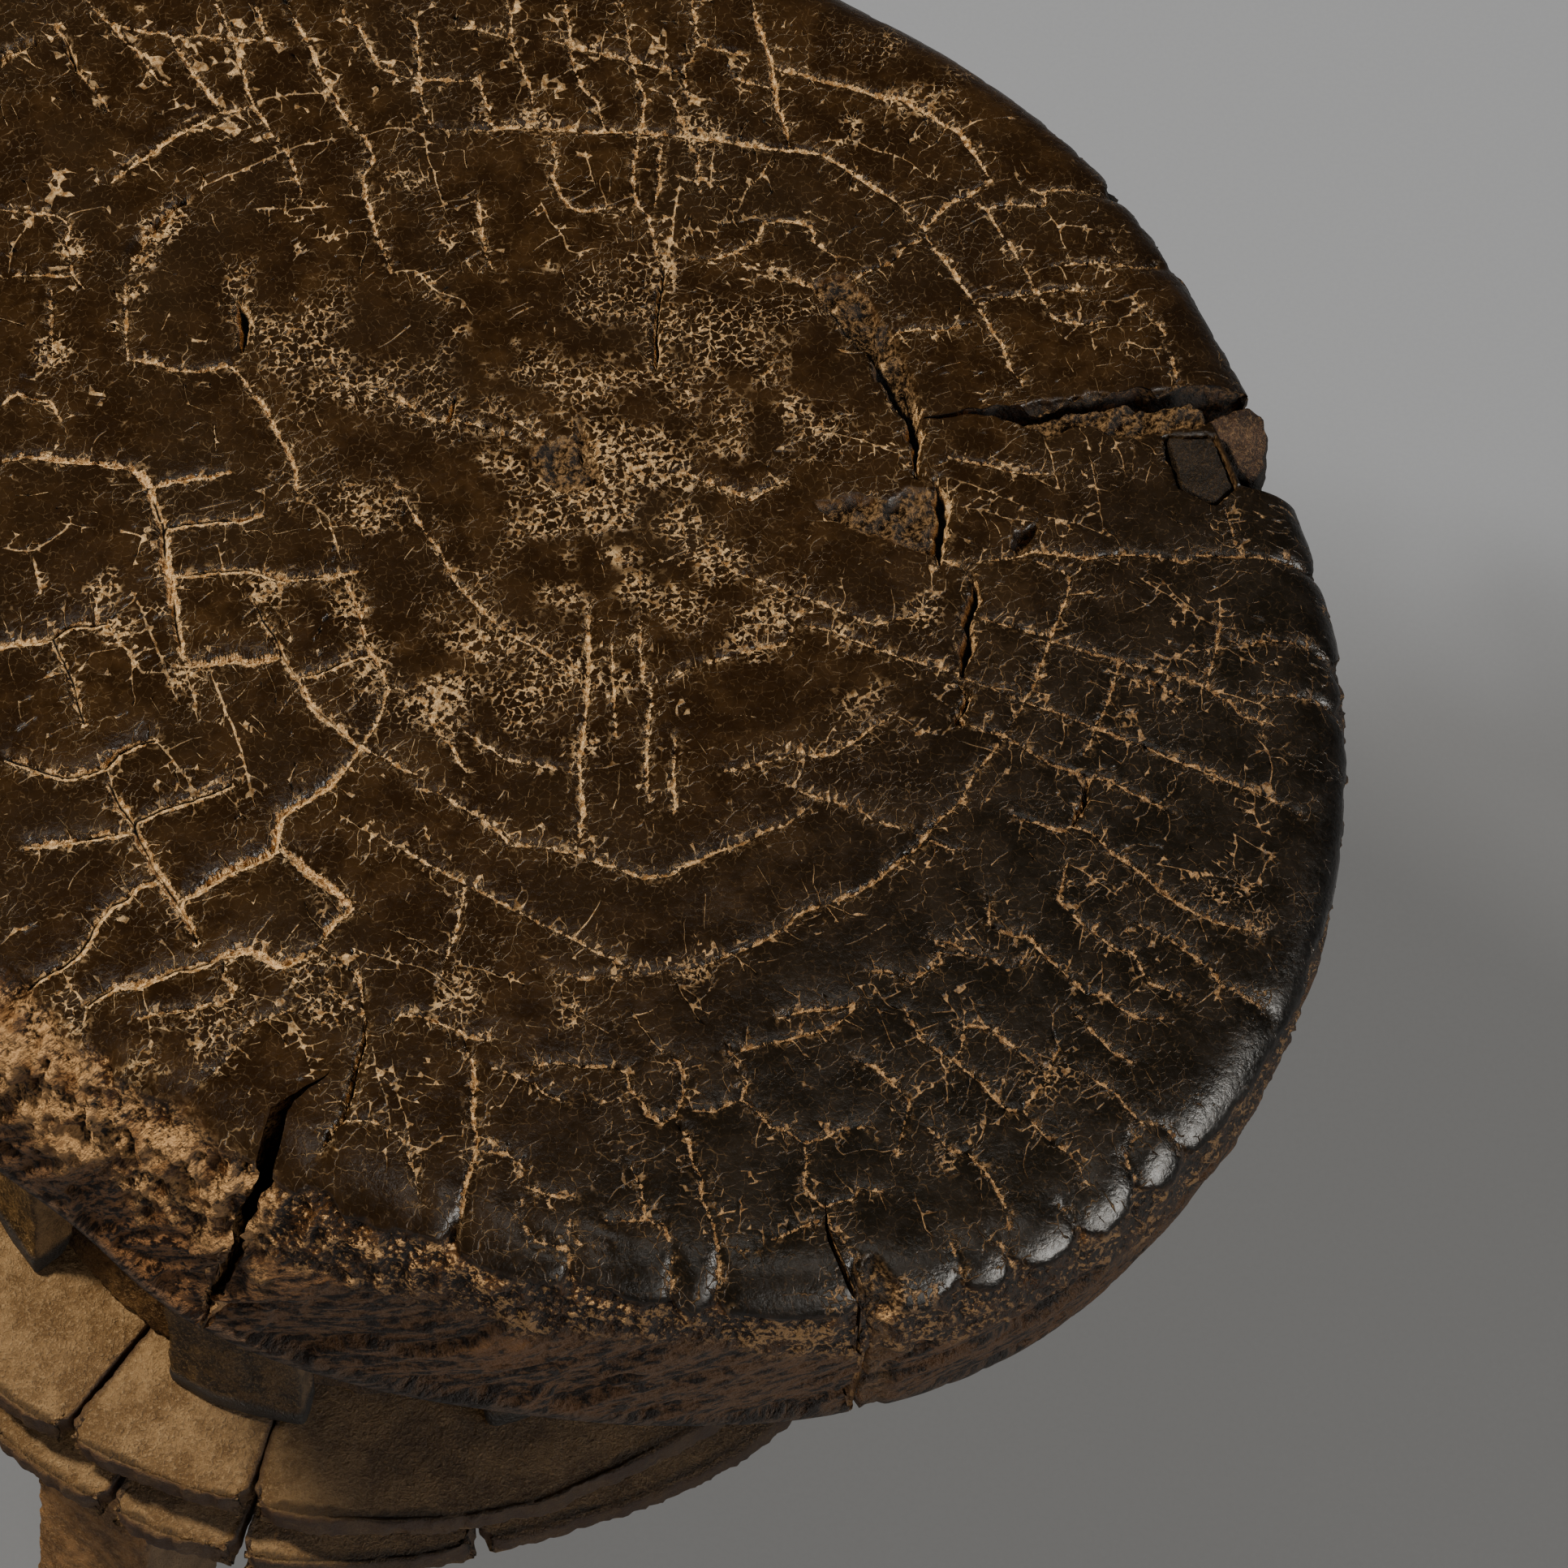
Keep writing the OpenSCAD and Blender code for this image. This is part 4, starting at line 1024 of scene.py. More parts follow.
def seat_material():
    """Polished, cracked and broken wood of the seat, from the values that dress() gives."""
    g = Graph("seat_wood")
    crack, hair, gash, crumb, worn, dust, raw, torn, relief, lower, wall = (
        g.attribute(k) for k in ("crack", "hair", "gash", "crumb", "worn", "dust", "raw", "torn",
                                 "relief", "lower", "wall"))
    rings = g.attribute("rings", "Vector")
    n_stroke = g.noise(800, 4, 0.62, at=g.attribute("strokes", "Vector"))
    n_broad = g.noise(28, 2, flat=True)
    n_mid = g.noise(150, 3, 0.6)
    n_fine = g.noise(900, 3, 0.65)
    n_dust = g.noise(520, 3, 0.7, flat=True)
    mottle = g.ramp(n_mid, 0.38, 0.66)
    sandy = g.ramp(n_fine, 0.34, 0.62)
    front = g.math("SUBTRACT", g.times(g.part("XYZ", g.place, 1), 0.8),
                   g.part("XYZ", g.place, 0))

    # Dark, hand-polished wood, a little different from cell to cell; painted sheen greys it at
    # the front
    patina_and_sheen = g.mix(mottle, srgb(33, 19, 5), srgb(52, 34, 14))
    patina_and_sheen = g.mix(g.ramp(n_broad, 0.42, 0.7, 0.0, 0.7), patina_and_sheen, srgb(38, 26, 13))
    tone = g.part("Color", g.cells(110, rings, out="Color"), 0)
    patina_and_sheen = g.mix(g.ramp(tone, 0.0, 1.0, 0.0, 0.4), patina_and_sheen, srgb(30, 17, 6))
    # Painted sheen: towards the front right the wood's colour turns grey
    patina_and_sheen = g.mix(g.ramp(front, -0.09, -0.19, 0.0, 0.95), patina_and_sheen,
                   g.mix(mottle, srgb(20, 16, 10), srgb(31, 25, 18)))

    # Dust in the cracks and around them
    tan = g.mix(sandy, srgb(142, 102, 56), srgb(228, 188, 134))
    tan = g.mix(g.ramp(front, -0.08, -0.18, 0.0, 0.8), tan,
                g.mix(sandy, srgb(92, 62, 34), srgb(180, 138, 92)))
    ragged = g.add(crack, g.add(g.ramp(n_fine, 0.3, 0.7, -0.24, 0.24, True),
                                g.ramp(n_dust, 0.3, 0.7, 0.4, -0.4, True)))
    core = g.ramp(ragged, 0.14, -0.06)
    halo = g.times(g.ramp(crack, 2.0, 0.0), g.ramp(n_dust, 0.52, 0.72))
    hair_line = g.times(g.ramp(hair, 0.10, -0.04), g.ramp(n_mid, 0.3, 0.6, 0.3, 1.0))
    shrink = g.edges(330, rings, 0.0016)
    shrink_small = g.edges(700, rings, 0.0009)
    # Beside a crack the wood is crazed too
    beside = g.add(crack, g.ramp(n_mid, 0.35, 0.65, 2.6, -1.2, True))
    zone = g.noise(48, 3, 0.65, flat=True)
    crackle = g.times(g.times(g.ramp(shrink, 0.045, 0.0), g.ramp(n_mid, 0.4, 0.58)),
                      g.most(g.ramp(beside, 5.0, 2.0),
                             g.ramp(g.add(zone, g.times(dust, 0.2)), 0.5, 0.64)))
    # Where there is more dust the small crackle gets wider lines and at last closes up
    filled = g.math("SUBTRACT", shrink_small,
                    g.times(dust, g.ramp(n_dust, 0.4, 0.75, 0.0, 0.5, True)))
    dusting = g.times(g.ramp(filled, 0.065, -0.02),
                      g.most(g.ramp(beside, 2.0, 0.5, 0.0, 0.7),
                             g.ramp(g.add(zone, g.times(dust, 0.3)), 0.56, 0.76)))
    total = g.most(core, g.times(halo, 0.4), g.times(hair_line, 0.85), g.times(crackle, 0.62),
                   g.times(dusting, 0.72))
    faint = g.times(g.ramp(shrink_small, 0.06, 0.0), g.ramp(n_dust, 0.36, 0.6, 0.0, 0.09))
    top = g.mix(g.most(total, faint), patina_and_sheen, tan)

    # Bare broken wood, and the raw side: dark hollows, lighter crests, tan crumbs when torn
    strokes = g.ramp(n_stroke, 0.38, 0.62, -1.0, 1.0, True)
    crest = g.ramp(g.add(relief, g.ramp(n_fine, 0.36, 0.64, -0.55, 0.55, True)), -0.45, 0.65)
    combed = g.ramp(g.add(g.times(relief, 0.6), strokes), -0.65, 0.7)
    bare = g.mix(crest, srgb(28, 14, 4), srgb(196, 150, 98))
    bare = g.mix(g.ramp(n_mid, 0.47, 0.62, 0.0, 0.7), bare, srgb(92, 56, 26))
    marks = g.mix(combed, srgb(30, 14, 3), srgb(118, 84, 54))
    marks = g.mix(g.times(combed, g.ramp(n_broad, 0.5, 0.66, 0.0, 0.6)), marks,
                  srgb(152, 104, 62))
    crumbs = g.ramp(g.add(g.times(n_mid, 0.5), g.times(n_fine, 0.5)), 0.49, 0.56)
    band = g.mix(crest, srgb(22, 10, 2), srgb(92, 60, 30))
    band = g.mix(g.times(g.ramp(crest, 0.6, 0.92), crumbs), band, srgb(204, 158, 104))
    raw_wood = g.mix(torn, marks, band)
    raw_wood = g.mix(lower, raw_wood, g.mix(combed, srgb(34, 21, 12), srgb(98, 76, 58)))
    crushed = g.mix(crest, srgb(24, 14, 5), srgb(128, 98, 64))
    bare = g.mix(g.math("SUBTRACT", crumb, worn, True), bare, crushed)
    broken = g.most(crumb, worn)
    colour = g.mix(raw, top, raw_wood)
    colour = g.mix(g.most(g.times(broken, g.ramp(lower, 0, 1, 1.0, 0.3)), wall), colour, bare)
    # Painted shade: the bottoms of the open cracks, and in places of the deep cracks at the left,
    # are near black
    colour = g.mix(g.ramp(gash, 0.12, -0.3), colour, srgb(8, 5, 3))

    matt = g.most(total, raw, broken, wall)
    shine = g.ramp(g.add(g.times(n_mid, 0.4), g.times(n_fine, 0.6)), 0.38, 0.62, 0.25, 0.42, True)
    roughness = g.mix(matt, shine, (0.85, 0.85, 0.85, 1))
    uneven = g.add(g.times(n_mid, g.ramp(matt, 0, 1, 0.22, 1.2)),
                   g.times(n_fine, g.ramp(matt, 0, 1, 0.16, 1.5)))
    height = g.add(uneven, g.times(strokes, g.times(raw, 0.3)))
    return g.finish(colour, roughness, 0.35, height, 0.0010)


seat_wood = seat_material()


def pick(values, index, **changed):
    """The values of some points, some of them changed to one number."""
    found = {key: v[index] for key, v in values.items()}
    found.update({key: np.full(len(index), v) for key, v in changed.items()})
    return found


def joined(points, values, extra):
    """The points and values with more of them added: extra holds pairs of the two."""
    return (np.concatenate([points] + [p for p, _ in extra]),
            {key: np.concatenate([v] + [e[key] for _, e in extra]) for key, v in values.items()})


# Loose chip on the right wedge: angle of each corner, and its distance inside the notch
chip_corners = [(0.4, 11), (0.3, 2.5), (-4, 2.5), (-5.5, 7.5), (-4.3, 12.5)]
chip_plan = np.array([(rim(a) - NOTCH - d) * ray(a) for a, d in chip_corners])
CHIP_GAP = 0.6

# Levels of the rows on a block's inner wall, above the seat's lower edge
WALL_LEVELS = (0.0, 20.0, 40.0, 52.0, 57.0)
WALL_TOP = 55.0
INNER = len(WALL_LEVELS)
# The way from the shake to the rim, as an even length for the splits' random bends
SHAKE_TO_RIM = 55
# Steps along a split's wall, from its outline to the plane between its ends
WALL_LAYERS = 14


def seat_piece(name, first, last, cell):
    """One outer block of the seat, between two splits."""
    cut = name == "seat_wedge_right"
    cell = cell * COARSE
    s0, s1 = splits[first], splits[last]
    if s1[0] < s0[0]:
        s1 = (s1[0] + 360, s1[1] + 360, *s1[2:])
    arc = math.radians(s1[1] - s0[1]) * float(rim((s0[1] + s1[1]) / 2))
    u = np.linspace(0, 1, int(arc / cell) + 2)
    outer, inner = s0[1] + (s1[1] - s0[1]) * u, s0[0] + (s1[0] - s0[0]) * u
    r_in, r_top = shake(inner), edge_r(outer, THICK, cut)
    bow = s0[2] * (1 - u) + s1[2] * u
    row = np.ones((1, len(u)))
    # Rows of radius, angle, height, side and share of the way to the rim: up the inner wall,
    # over the top, round the edge and down the side
    rows = [(r_in * row, inner * row, z * row, -row, 0 * row) for z in WALL_LEVELS]
    t = np.linspace(0, 1, int(float(np.mean(r_top - r_in)) / cell) + 2)[:, None]
    full = t + 0 * u
    rows.append((r_in + (r_top - r_in) * t, inner + (outer - inner) * t + bow * np.sin(np.pi * t),
                 THICK + 0 * full, 0 * full, full))
    edge_low = THICK - ROUND
    levels = [(edge_low + ROUND * math.sin(math.radians(e)), (90 - e) / 90)
              for e in np.arange(90, 0, -90 / max(6, int(16 / COARSE)))[1:]]
    levels += [(z, 1.0) for z in np.linspace(edge_low, 0, int(edge_low / (cell * 1.25)) + 1)]
    rows += [(edge_r(outer, z, cut)[None], outer * row, z * row, s * row, row) for z, s in levels]
    radius, angle, height, side, share = (np.concatenate(v) for v in zip(*rows))
    shape = radius.shape
    across = np.stack([-np.sin(np.radians(angle)), np.cos(np.radians(angle))], -1)

    # An open split draws the block's ends back, and one split leans
    push = np.zeros(shape)
    run, fall = (share * SHAKE_TO_RIM).ravel(), height.ravel()
    bend = rough(run, fall, 0 * run, 7.0, 3, 61.0).reshape(shape)
    thin = 1 + 0.7 * rough(run, fall, 0 * run, 5.0, 3, 62.0).reshape(shape)
    for split, start_angle, way in ((first, outer[0], 1), (last, outer[-1], -1)):
        away = np.radians(way * (outer - start_angle)) * radius.mean()
        if split in opened:
            wide, start = opened[split]
            gap = wide * thin * smooth(start, 1.0, share) ** (1.0 if start else 0.4)
            push = push + way * gap / 2 * np.clip(1 - away / 8, 0, 1)
            push = push + 1.5 * bend * smooth(start - 0.1, start + 0.1, share) * smooth(
                12, 0, away)
        if split == LEANING:
            low = np.where(side < 0, 0, THICK - height) * share ** 2
            push = push - LEAN * low / THICK * smooth(46, 0, away)

    plan = radius[..., None] * ray(angle) + push[..., None] * across
    z, s = height.ravel(), side.ravel()
    edge = np.zeros(shape, bool)
    edge[:, [0, -1]] = True
    edge[:INNER + 1] = True
    x, y, down, values = dress(plan[..., 0].ravel(), plan[..., 1].ravel(), z, np.clip(s, 0, 1),
                               cell, edge.ravel(), angle.ravel())
    inner_wall = s < 0
    down = np.where(inner_wall, 0, down)
    wall = inner_wall.astype(float)
    if cut:
        pocket = smooth(-0.3, 0.5, inside(chip_plan, x, y) + CHIP_GAP) * (s < 0.5)
        down = down - CHIP * pocket
        wall = np.maximum(wall, pocket)
    values["wall"] = wall
    phi = np.clip(s, 0, 1) * math.pi / 2
    out = ray(angle).reshape(-1, 2) * (down * np.sin(phi))[:, None]
    points = np.stack([x + out[:, 0], y + out[:, 1], np.where(
        inner_wall, SEAT_LOW + np.minimum(z, WALL_TOP), SEAT_LOW + z + down * np.cos(phi))], 1)

    # The top row is there twice, so that the inner wall has a sharp edge
    index = np.arange(len(points)).reshape(shape)
    own = np.arange(len(points), len(points) + shape[1])
    points, values = joined(points, values, [(points[index[INNER]], pick(values, index[INNER]))])
    bottom = np.stack([index[-1, :-1], index[0, :-1], index[0, 1:], index[-1, 1:]], 1)
    faces = [split_quads(index[INNER:], values["crack"]),
             split_quads(np.concatenate([index[:INNER], own[None]])),
             bottom[:, [0, 1, 2]], bottom[:, [0, 2, 3]]]
    faces = [f[:, ::-1] for f in faces]

    # The two walls along the splits
    extra, shift = [], len(points)
    for col, sign, split in ((0, 1, s0), (-1, -1, s1)):
        ring = index[:, col]
        pts = points[ring]
        span = pts[-1] - pts[0]
        way = np.clip(((pts - pts[0]) @ span) / (span[:2] @ span[:2]), 0, 1)
        base = pts[0] + way[:, None] * span
        grid = []
        for k in range(WALL_LAYERS + 1):
            f = (k / WALL_LAYERS) ** 1.6
            q = pts * (1 - f) + base * f
            found = pick(values, ring, wall=1.0, gash=1.0) if k else pick(values, ring)
            if k and split[3] >= 1:
                dent = 0.9 + 1.4 * rough(q[:, 0], q[:, 1], q[:, 2], 5.0, 3, 21.0)
                dent = np.clip(dent, 0, 4) * min(1, k / 2) * (k < WALL_LAYERS)
                q[:, :2] += sign * dent[:, None] * across.reshape(-1, 2)[ring]
            extra.append((q, found))
            grid.append(np.arange(shift, shift + len(ring)))
            shift += len(ring)
        sheet = split_quads(np.stack(grid))
        faces.append(sheet[:, ::-1] if col == 0 else sheet)
    points, values = joined(points, values, extra)
    make(name, points, np.concatenate(faces), values)


def heart_piece(name, count):
    """The heart of the seat, inside the ring shake, as a square grid drawn out to its outline."""
    count = int(count / COARSE)
    line = np.linspace(-1, 1, count + 1)
    a, b = np.meshgrid(line, line, indexing="ij")
    big = np.maximum(np.abs(a), np.abs(b))
    with np.errstate(divide="ignore", invalid="ignore"):
        turn = np.where(np.abs(a) >= np.abs(b), 45 * b / a + np.where(a < 0, 180, 0),
                        90 - 45 * a / b + np.where(b < 0, 180, 0))
    turn = np.where(big == 0, 0, turn)
    plan = (big * shake(turn))[..., None] * ray(turn)
    z = np.full(a.size, THICK)
    x, y, down, values = dress(plan[..., 0].ravel(), plan[..., 1].ravel(), z, 0 * z,
                               2 * SHAKE_RADIUS / count, (big > 1 - 1e-9).ravel(), turn.ravel())
    values["wall"] = 0 * z
    points = np.stack([x, y, SEAT_LOW + z + down], 1)
    index = np.arange(len(points)).reshape(a.shape)
    faces = [split_quads(index, values["crack"])]
    # Wall and bottom
    loop = np.concatenate([index[:-1, 0], index[-1, :-1], index[:0:-1, -1], index[0, :0:-1]])
    extra, grid, shift = [], [], len(points)
    for level in (None, 50.0, 0.0):
        q = points[loop]
        if level is not None:
            q[:, 2] = SEAT_LOW + level
        extra.append((q, pick(values, loop, wall=1.0)))
        grid.append(np.append(np.arange(shift, shift + len(loop)), shift))
        shift += len(loop)
    faces.append(split_quads(np.stack(grid))[:, ::-1])
    extra.append((np.array([[0.0, 0.0, SEAT_LOW]]), pick(values, index[0, :1])))
    faces.append(np.stack([np.full(len(loop), shift), grid[-1][1:], grid[-1][:-1]], 1))
    points, values = joined(points, values, extra)
    make(name, points, np.concatenate(faces), values)


heart_piece("seat_heart", 300)
for name, first, last, cell in (
        ("seat_wedge_right", "right_low", "right", 0.55),
        ("seat_block_back_right", "right", "back", 0.62),
        ("seat_block_back", "back", "back_left", 1.0),
        ("seat_block_back_left", "back_left", "left", 1.2),
        ("seat_block_left", "left", "front_left", 0.75),
        ("seat_block_front", "front_left", "front", 0.6),
        ("seat_block_front_right", "front", "right_low", 0.62)):
    seat_piece(name, first, last, cell)


# The pieces below the seat: the solids, softened by wear and roughened
def worn_copy(name, cell, passes, dent, wood):
    """Remeshes a solid, rounds it by smoothing, and moves its skin by dent(points, normals)."""
    work = bpy.data.objects.new("work", bpy.data.objects[name].data.copy())
    bpy.context.scene.collection.objects.link(work)
    remesh = work.modifiers.new("remesh", "REMESH")
    remesh.mode, remesh.voxel_size = "VOXEL", cell * COARSE * MM
    soften = work.modifiers.new("soften", "SMOOTH")
    soften.factor, soften.iterations = 0.5, max(1, int(passes / COARSE))
    view = bpy.context.evaluated_depsgraph_get()
    mesh = bpy.data.meshes.new_from_object(work.evaluated_get(view))
    bpy.data.objects.remove(work)
    mesh.materials.clear()
    points = np.empty((len(mesh.vertices), 3), np.float32)
    normals = np.empty_like(points)
    mesh.vertices.foreach_get("co", points.ravel())
    mesh.vertex_normals.foreach_get("vector", normals.ravel())
    points = points / MM + [*centre, 0]
    move, values = dent(points, normals)
    moved = points + normals * move[:, None] - [*centre, 0]
    mesh.vertices.foreach_set("co", (moved * MM).astype(np.float32).ravel())
    mesh.polygons.foreach_set("use_smooth", np.full(len(mesh.polygons), True))
    give_values(mesh, values)
    mesh.update()
    mesh.name = name + "_look"
    stand_in(name, mesh, wood)


def about_drum(p):
    x, y = p[:, 0] - drum_axis[0], p[:, 1] - drum_axis[1]
    return np.hypot(x, y), np.degrees(np.arctan2(y, x))


# Length of one degree along a collar's edge
DEGREE = 2.2


def collar_dent(outer, bumps, cracks_at):
    """Wear of a collar: a chipped, combed edge, and corners rounded off beside the cracks."""
    def dent(p, n):
        r, turn = about_drum(p)
        flat = smooth(0.45, 0.85, n[:, 2])
        wall = 1 - smooth(0.4, 0.8, np.abs(n[:, 2]))
        gap = np.radians(np.min([np.abs((turn - c + 180) % 360 - 180) for c in cracks_at], 0)) * r
        reach = outer + around(bumps, turn)
        edge = smooth(reach - 7, reach - 1, r)
        outside = smooth(reach - 5, reach - 2, r) * wall
        pits = smooth(0.45, 0.75, rough(*p.T, 3.2, 2, 32.0))
        comb = rough(turn * DEGREE, p[:, 2] * 0.08, 0 * r, 1.4, 2, 33.0)
        chip = smooth(0.25, 0.7, rough(turn * DEGREE, p[:, 2] * 0.3, 0 * r, 7.0, 2, 34.0))
        round_end = np.clip(1 - gap / 9, 0, 1) ** 2
        move = (0.7 * rough(*p.T, 22, 2, 31.0)
                - flat * (1.6 * smooth(reach - 18, reach, r) ** 2 + 0.3 * pits
                          + 1.1 * np.exp(-gap / 3.5))
                + wall * (0.5 * comb - 1.0 * chip) - outside * 4.0 * round_end
                + 0.22 * rough(*p.T, 2.4, 2, 35.0))
        return move, dict(wall=wall, edge=edge * flat, toe=0 * r)
    return dent


def rib_dent(toe_top):
    """Wear of a rib or a leg, with a smooth lip below toe_top."""
    def dent(p, n):
        _, turn = about_drum(p)
        front = smooth(-0.2, 0.5, (n[:, 0] * np.cos(np.radians(turn))
                                   + n[:, 1] * np.sin(np.radians(turn))))
        lip = smooth(toe_top + 1.0, toe_top - 0.5, p[:, 2] + 0.8 * rough(*p.T, 6.0, 2, 41.0))
        move = (0.8 * rough(p[:, 0], p[:, 1], p[:, 2] * 0.5, 16, 2, 42.0)
                + (1 - lip) * (0.35 * rough(*p.T, 3.0, 3, 43.0) - 0.5))
        # wall marks the side faces, which the material paints paler: painted light
        return move, dict(wall=1 - front, edge=front, toe=lip)
    return dent


def plain_dent(size, depth, shift):
    """Dents of one size all over, for the pieces that are hardly seen."""
    def dent(p, _):
        return depth * rough(*p.T, size, 4, shift), dict.fromkeys(("wall", "edge", "toe"),
                                                                  0 * p[:, 0])
    return dent


def lower_material(name, dark, light, dusty_, coarse=120.0, share=0.5, wall=None, lip=None,
                   edge=None):
    """Dull, dusty wood. wall, lip and edge tint the places that the mesh marks with them."""
    g = Graph(name)
    n = g.noise(coarse, 3, 0.65)
    f = g.noise(1100, 3, 0.7)
    tiny = g.noise(2600, 2, 0.7)
    colour = g.mix(g.ramp(n, 0.36, 0.66), dark, light)
    for grain, low, high, strength, tint in (
            (f, 0.5, 0.68, share, dusty_), (tiny, 0.55, 0.7, share * 0.9, dusty_),
            (tiny, 0.45, 0.32, 0.5, dark), (f, 0.42, 0.3, 0.6, dark)):
        colour = g.mix(g.times(g.ramp(grain, low, high), strength), colour, tint)
    if edge:
        uneven = g.add(g.attribute("edge"), g.ramp(n, 0.3, 0.7, -0.3, 0.3, True))
        colour = g.mix(g.times(g.ramp(uneven, 0.62, 1.0), 0.8), colour, edge)
    if wall:
        colour = g.mix(g.times(g.attribute("wall"), g.ramp(n, 0.3, 0.6, 0.5, 1.0)), colour, wall)
    matt = 0.88
    if lip:
        colour = g.mix(g.attribute("toe"), colour,
                       g.mix(g.ramp(n, 0.4, 0.6), lip, srgb(66, 62, 58)))
        matt = g.math("SUBTRACT", matt, g.times(g.attribute("toe"), 0.4))
    height = g.add(g.add(n, g.times(f, 1.2)), g.times(tiny, 0.35))
    return g.finish(colour, matt, 0.35, height, 0.0014)


drum_wood = lower_material("drum_wood", srgb(48, 30, 14), srgb(110, 78, 42), srgb(150, 116, 76))
bowl_wood = lower_material("bowl_wood", srgb(40, 26, 14), srgb(84, 60, 38), srgb(128, 98, 64))
# Painted light: the ribs' side faces are tinted pale tan, as faces in the light
rib_wood = lower_material("rib_wood", srgb(52, 36, 17), srgb(104, 76, 40), srgb(168, 132, 84),
                          coarse=200, wall=srgb(176, 142, 98), lip=srgb(60, 56, 52))
collar_wood = lower_material("collar_wood", srgb(116, 86, 52), srgb(160, 126, 84),
                             srgb(192, 158, 112), wall=srgb(84, 60, 42), edge=srgb(66, 48, 28))
# Painted light: the legs' side faces are tinted pale tan, as faces in the light
leg_wood = lower_material("leg_wood", srgb(104, 72, 38), srgb(168, 122, 74), srgb(186, 150, 104),
                          wall=srgb(176, 144, 106))
chip_wood = lower_material("chip_wood", srgb(28, 21, 13), srgb(48, 37, 26), srgb(150, 116, 76),
                           share=0.16)
nub_wood = lower_material("nub_wood", srgb(44, 30, 22), srgb(88, 66, 50), srgb(150, 118, 82))

# Name, cell of the mesh, smoothing passes, size and depth of the dents, slot, material
for shift, (name, cell, passes, size, depth, slot, wood) in enumerate((
        ("seat_bowl", 2.6, 4, 30, 1.2, "bowl_wood", bowl_wood),
        ("upper_drum", 2.4, 4, 26, 1.2, "drum_wood", drum_wood),
        ("lower_drum", 2.8, 4, 26, 1.2, "drum_wood", drum_wood),
        ("collar_groove", 2.4, 2, 20, 0.8, "drum_wood", drum_wood),
        ("rim_chip", 0.5, 3, 5, 0.35, "seat_wood", chip_wood),
        ("rim_nub", 0.55, 7, 6, 0.9, "seat_wood", nub_wood)), 51):
    worn_copy(name, cell, passes, plain_dent(size, depth, shift), wood)
# The ribs and collars near the camera get a finer mesh
RIBS, LEGS = 9, 3
# Heights that the smooth lips go up to, at the ribs' toes and at the feet
RIB_LIP, FOOT_LIP = 127.0, 3.0
for i in range(1, RIBS + 1):
    near = i in (1, 2, 9)
    worn_copy(f"upper_rib_{i}", 0.9 if near else 1.6, 9 if near else 4, rib_dent(RIB_LIP),
              rib_wood)
for i in range(1, LEGS + 1):
    worn_copy(f"leg_{i}", 1.0, 8, rib_dent(FOOT_LIP), leg_wood)
# Level, radius, bumps of the edge, angles of the cracks, sectors
for level, outer, bumps, cracks_at, sides in (
        ("upper", 126, collar_bumps, (-125, -104.5, -30, 60, 150),
         ("front", "right", "back", "left", "front_left")),
        ("lower", 130, lower_bumps, (-119.5, -105.5, -81.5, 15, 120),
         ("front", "front_right", "right", "back", "left"))):
    for where in sides:
        near = where.startswith("front") or where == "left"
        worn_copy(f"{level}_collar_{where}", 1.0 if near else 1.8, 6 if near else 3,
                  collar_dent(outer, bumps, cracks_at), collar_wood)

# Floor and backdrop: its colour as the camera sees it gets paler with the distance; the darker
# near part is a painted shadow
FLOOR = 3.0
plane = bpy.data.meshes.new("floor")
plane.from_pydata([(-FLOOR, -FLOOR, 0), (FLOOR, -FLOOR, 0), (FLOOR, FLOOR, 0),
                   (-FLOOR, FLOOR, 0)], [], [(0, 1, 2, 3)])
floor = bpy.data.objects.new("floor", plane)
bpy.context.scene.collection.objects.link(floor)
g = Graph("paper")
seen = g.nodes.new("ShaderNodeLightPath").outputs["Is Camera Ray"]
away = g.add(g.part("XYZ", g.place, 1), g.ramp(g.noise(7.0, 2), 0.3, 0.7, -0.02, 0.02))
# Painted shadow: the floor is darker on the near side and paler further back
glow_and_painted_shadow = g.mix(g.ramp(away, 0.108, 0.243), srgb(108, 107, 105), srgb(150, 150, 150))
glow_and_painted_shadow = g.mix(g.ramp(g.noise(700.0, 2, 0.7), 0.3, 0.7), glow_and_painted_shadow, g.mix(0.97, (0, 0, 0, 1), glow_and_painted_shadow))
g.put(g.shader.inputs["Emission Color"], glow_and_painted_shadow)
g.put(g.shader.inputs["Emission Strength"], seen)
paper = g.mix(seen, srgb(150, 150, 150), srgb(66, 66, 66))
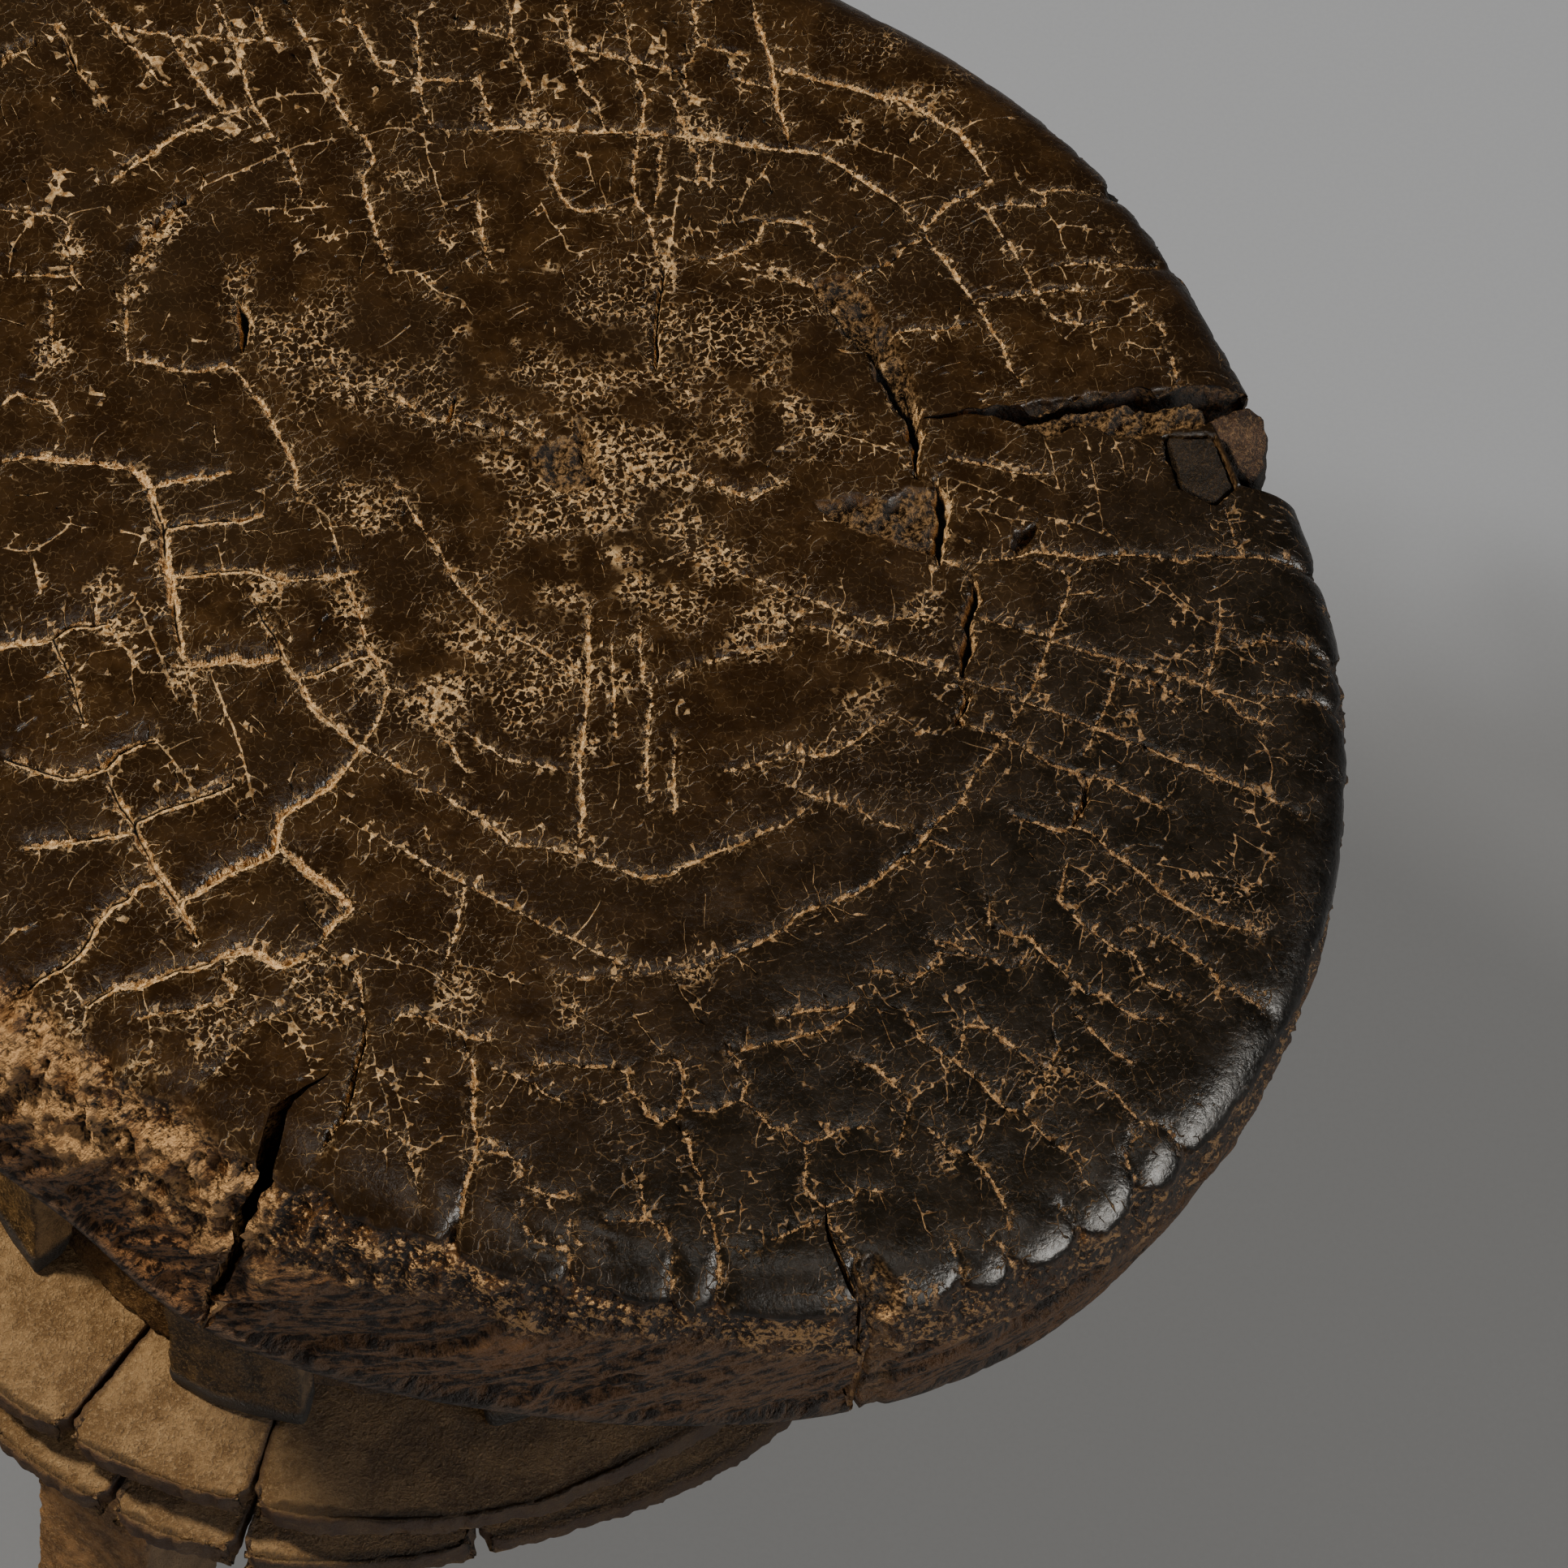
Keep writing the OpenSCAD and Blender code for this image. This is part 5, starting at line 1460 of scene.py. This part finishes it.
floor.data.materials.append(g.finish(paper, 0.95, 0.1, g.noise(3.0), 0.0))


# Light
SEAT_MIDDLE = (0.0, -0.05, 0.28)


def area(name, direction, target, size, watts, colour):
    """A lamp in a direction from the seat: azimuth, height in degrees, distance in metres."""
    azimuth, up, distance = math.radians(direction[0]), math.radians(direction[1]), direction[2]
    data = bpy.data.lights.new(name, "AREA")
    data.shape, (data.size, data.size_y) = "RECTANGLE", size
    data.energy, data.color = watts, colour
    lamp = bpy.data.objects.new(name, data)
    lamp.location = Vector(SEAT_MIDDLE) + distance * Vector((
        math.cos(azimuth) * math.cos(up), math.sin(azimuth) * math.cos(up), math.sin(up)))
    lamp.rotation_euler = (Vector(target) - lamp.location).to_track_quat("-Z", "Y").to_euler()
    bpy.context.scene.collection.objects.link(lamp)
    return lamp


key = area("key", (157, 59, 1.8), SEAT_MIDDLE, (0.2, 0.2), 46, (1.0, 0.975, 0.94))
key.visible_glossy = False
window = area("window", (-36, 24, 1.5), (0.08, -0.08, 0.32), (1.1, 0.5), 35, (1.0, 0.965, 0.9))
window.visible_diffuse = False
over = area("above", (-90, 80, 1.4), (0.0, -0.05, 0.3), (0.5, 0.5), 2.4, (1.0, 0.96, 0.89))
over.visible_diffuse = False
area("front", (-78, 24, 1.7), (0.0, -0.05, 0.25), (0.7, 0.7), 5.6, (1.0, 0.95, 0.88))
world = bpy.data.worlds.new("room")
world.use_nodes = True
world.node_tree.nodes["Background"].inputs[0].default_value = (1.0, 0.98, 0.95, 1)
world.node_tree.nodes["Background"].inputs[1].default_value = 0.045
bpy.context.scene.world = world

lens = bpy.data.cameras.new("photo")
lens.lens, lens.sensor_width = LENS, SENSOR
lens.clip_start, lens.clip_end = 0.05, 20
camera = bpy.data.objects.new("photo", lens)
turned = np.stack([right, above, -forward], 1)
camera.matrix_world = Matrix.Translation(Vector(((eye - [*centre, 0]) * MM).tolist())) @ Matrix(
    turned.tolist()).to_4x4()
bpy.context.scene.collection.objects.link(camera)
bpy.context.scene.camera = camera
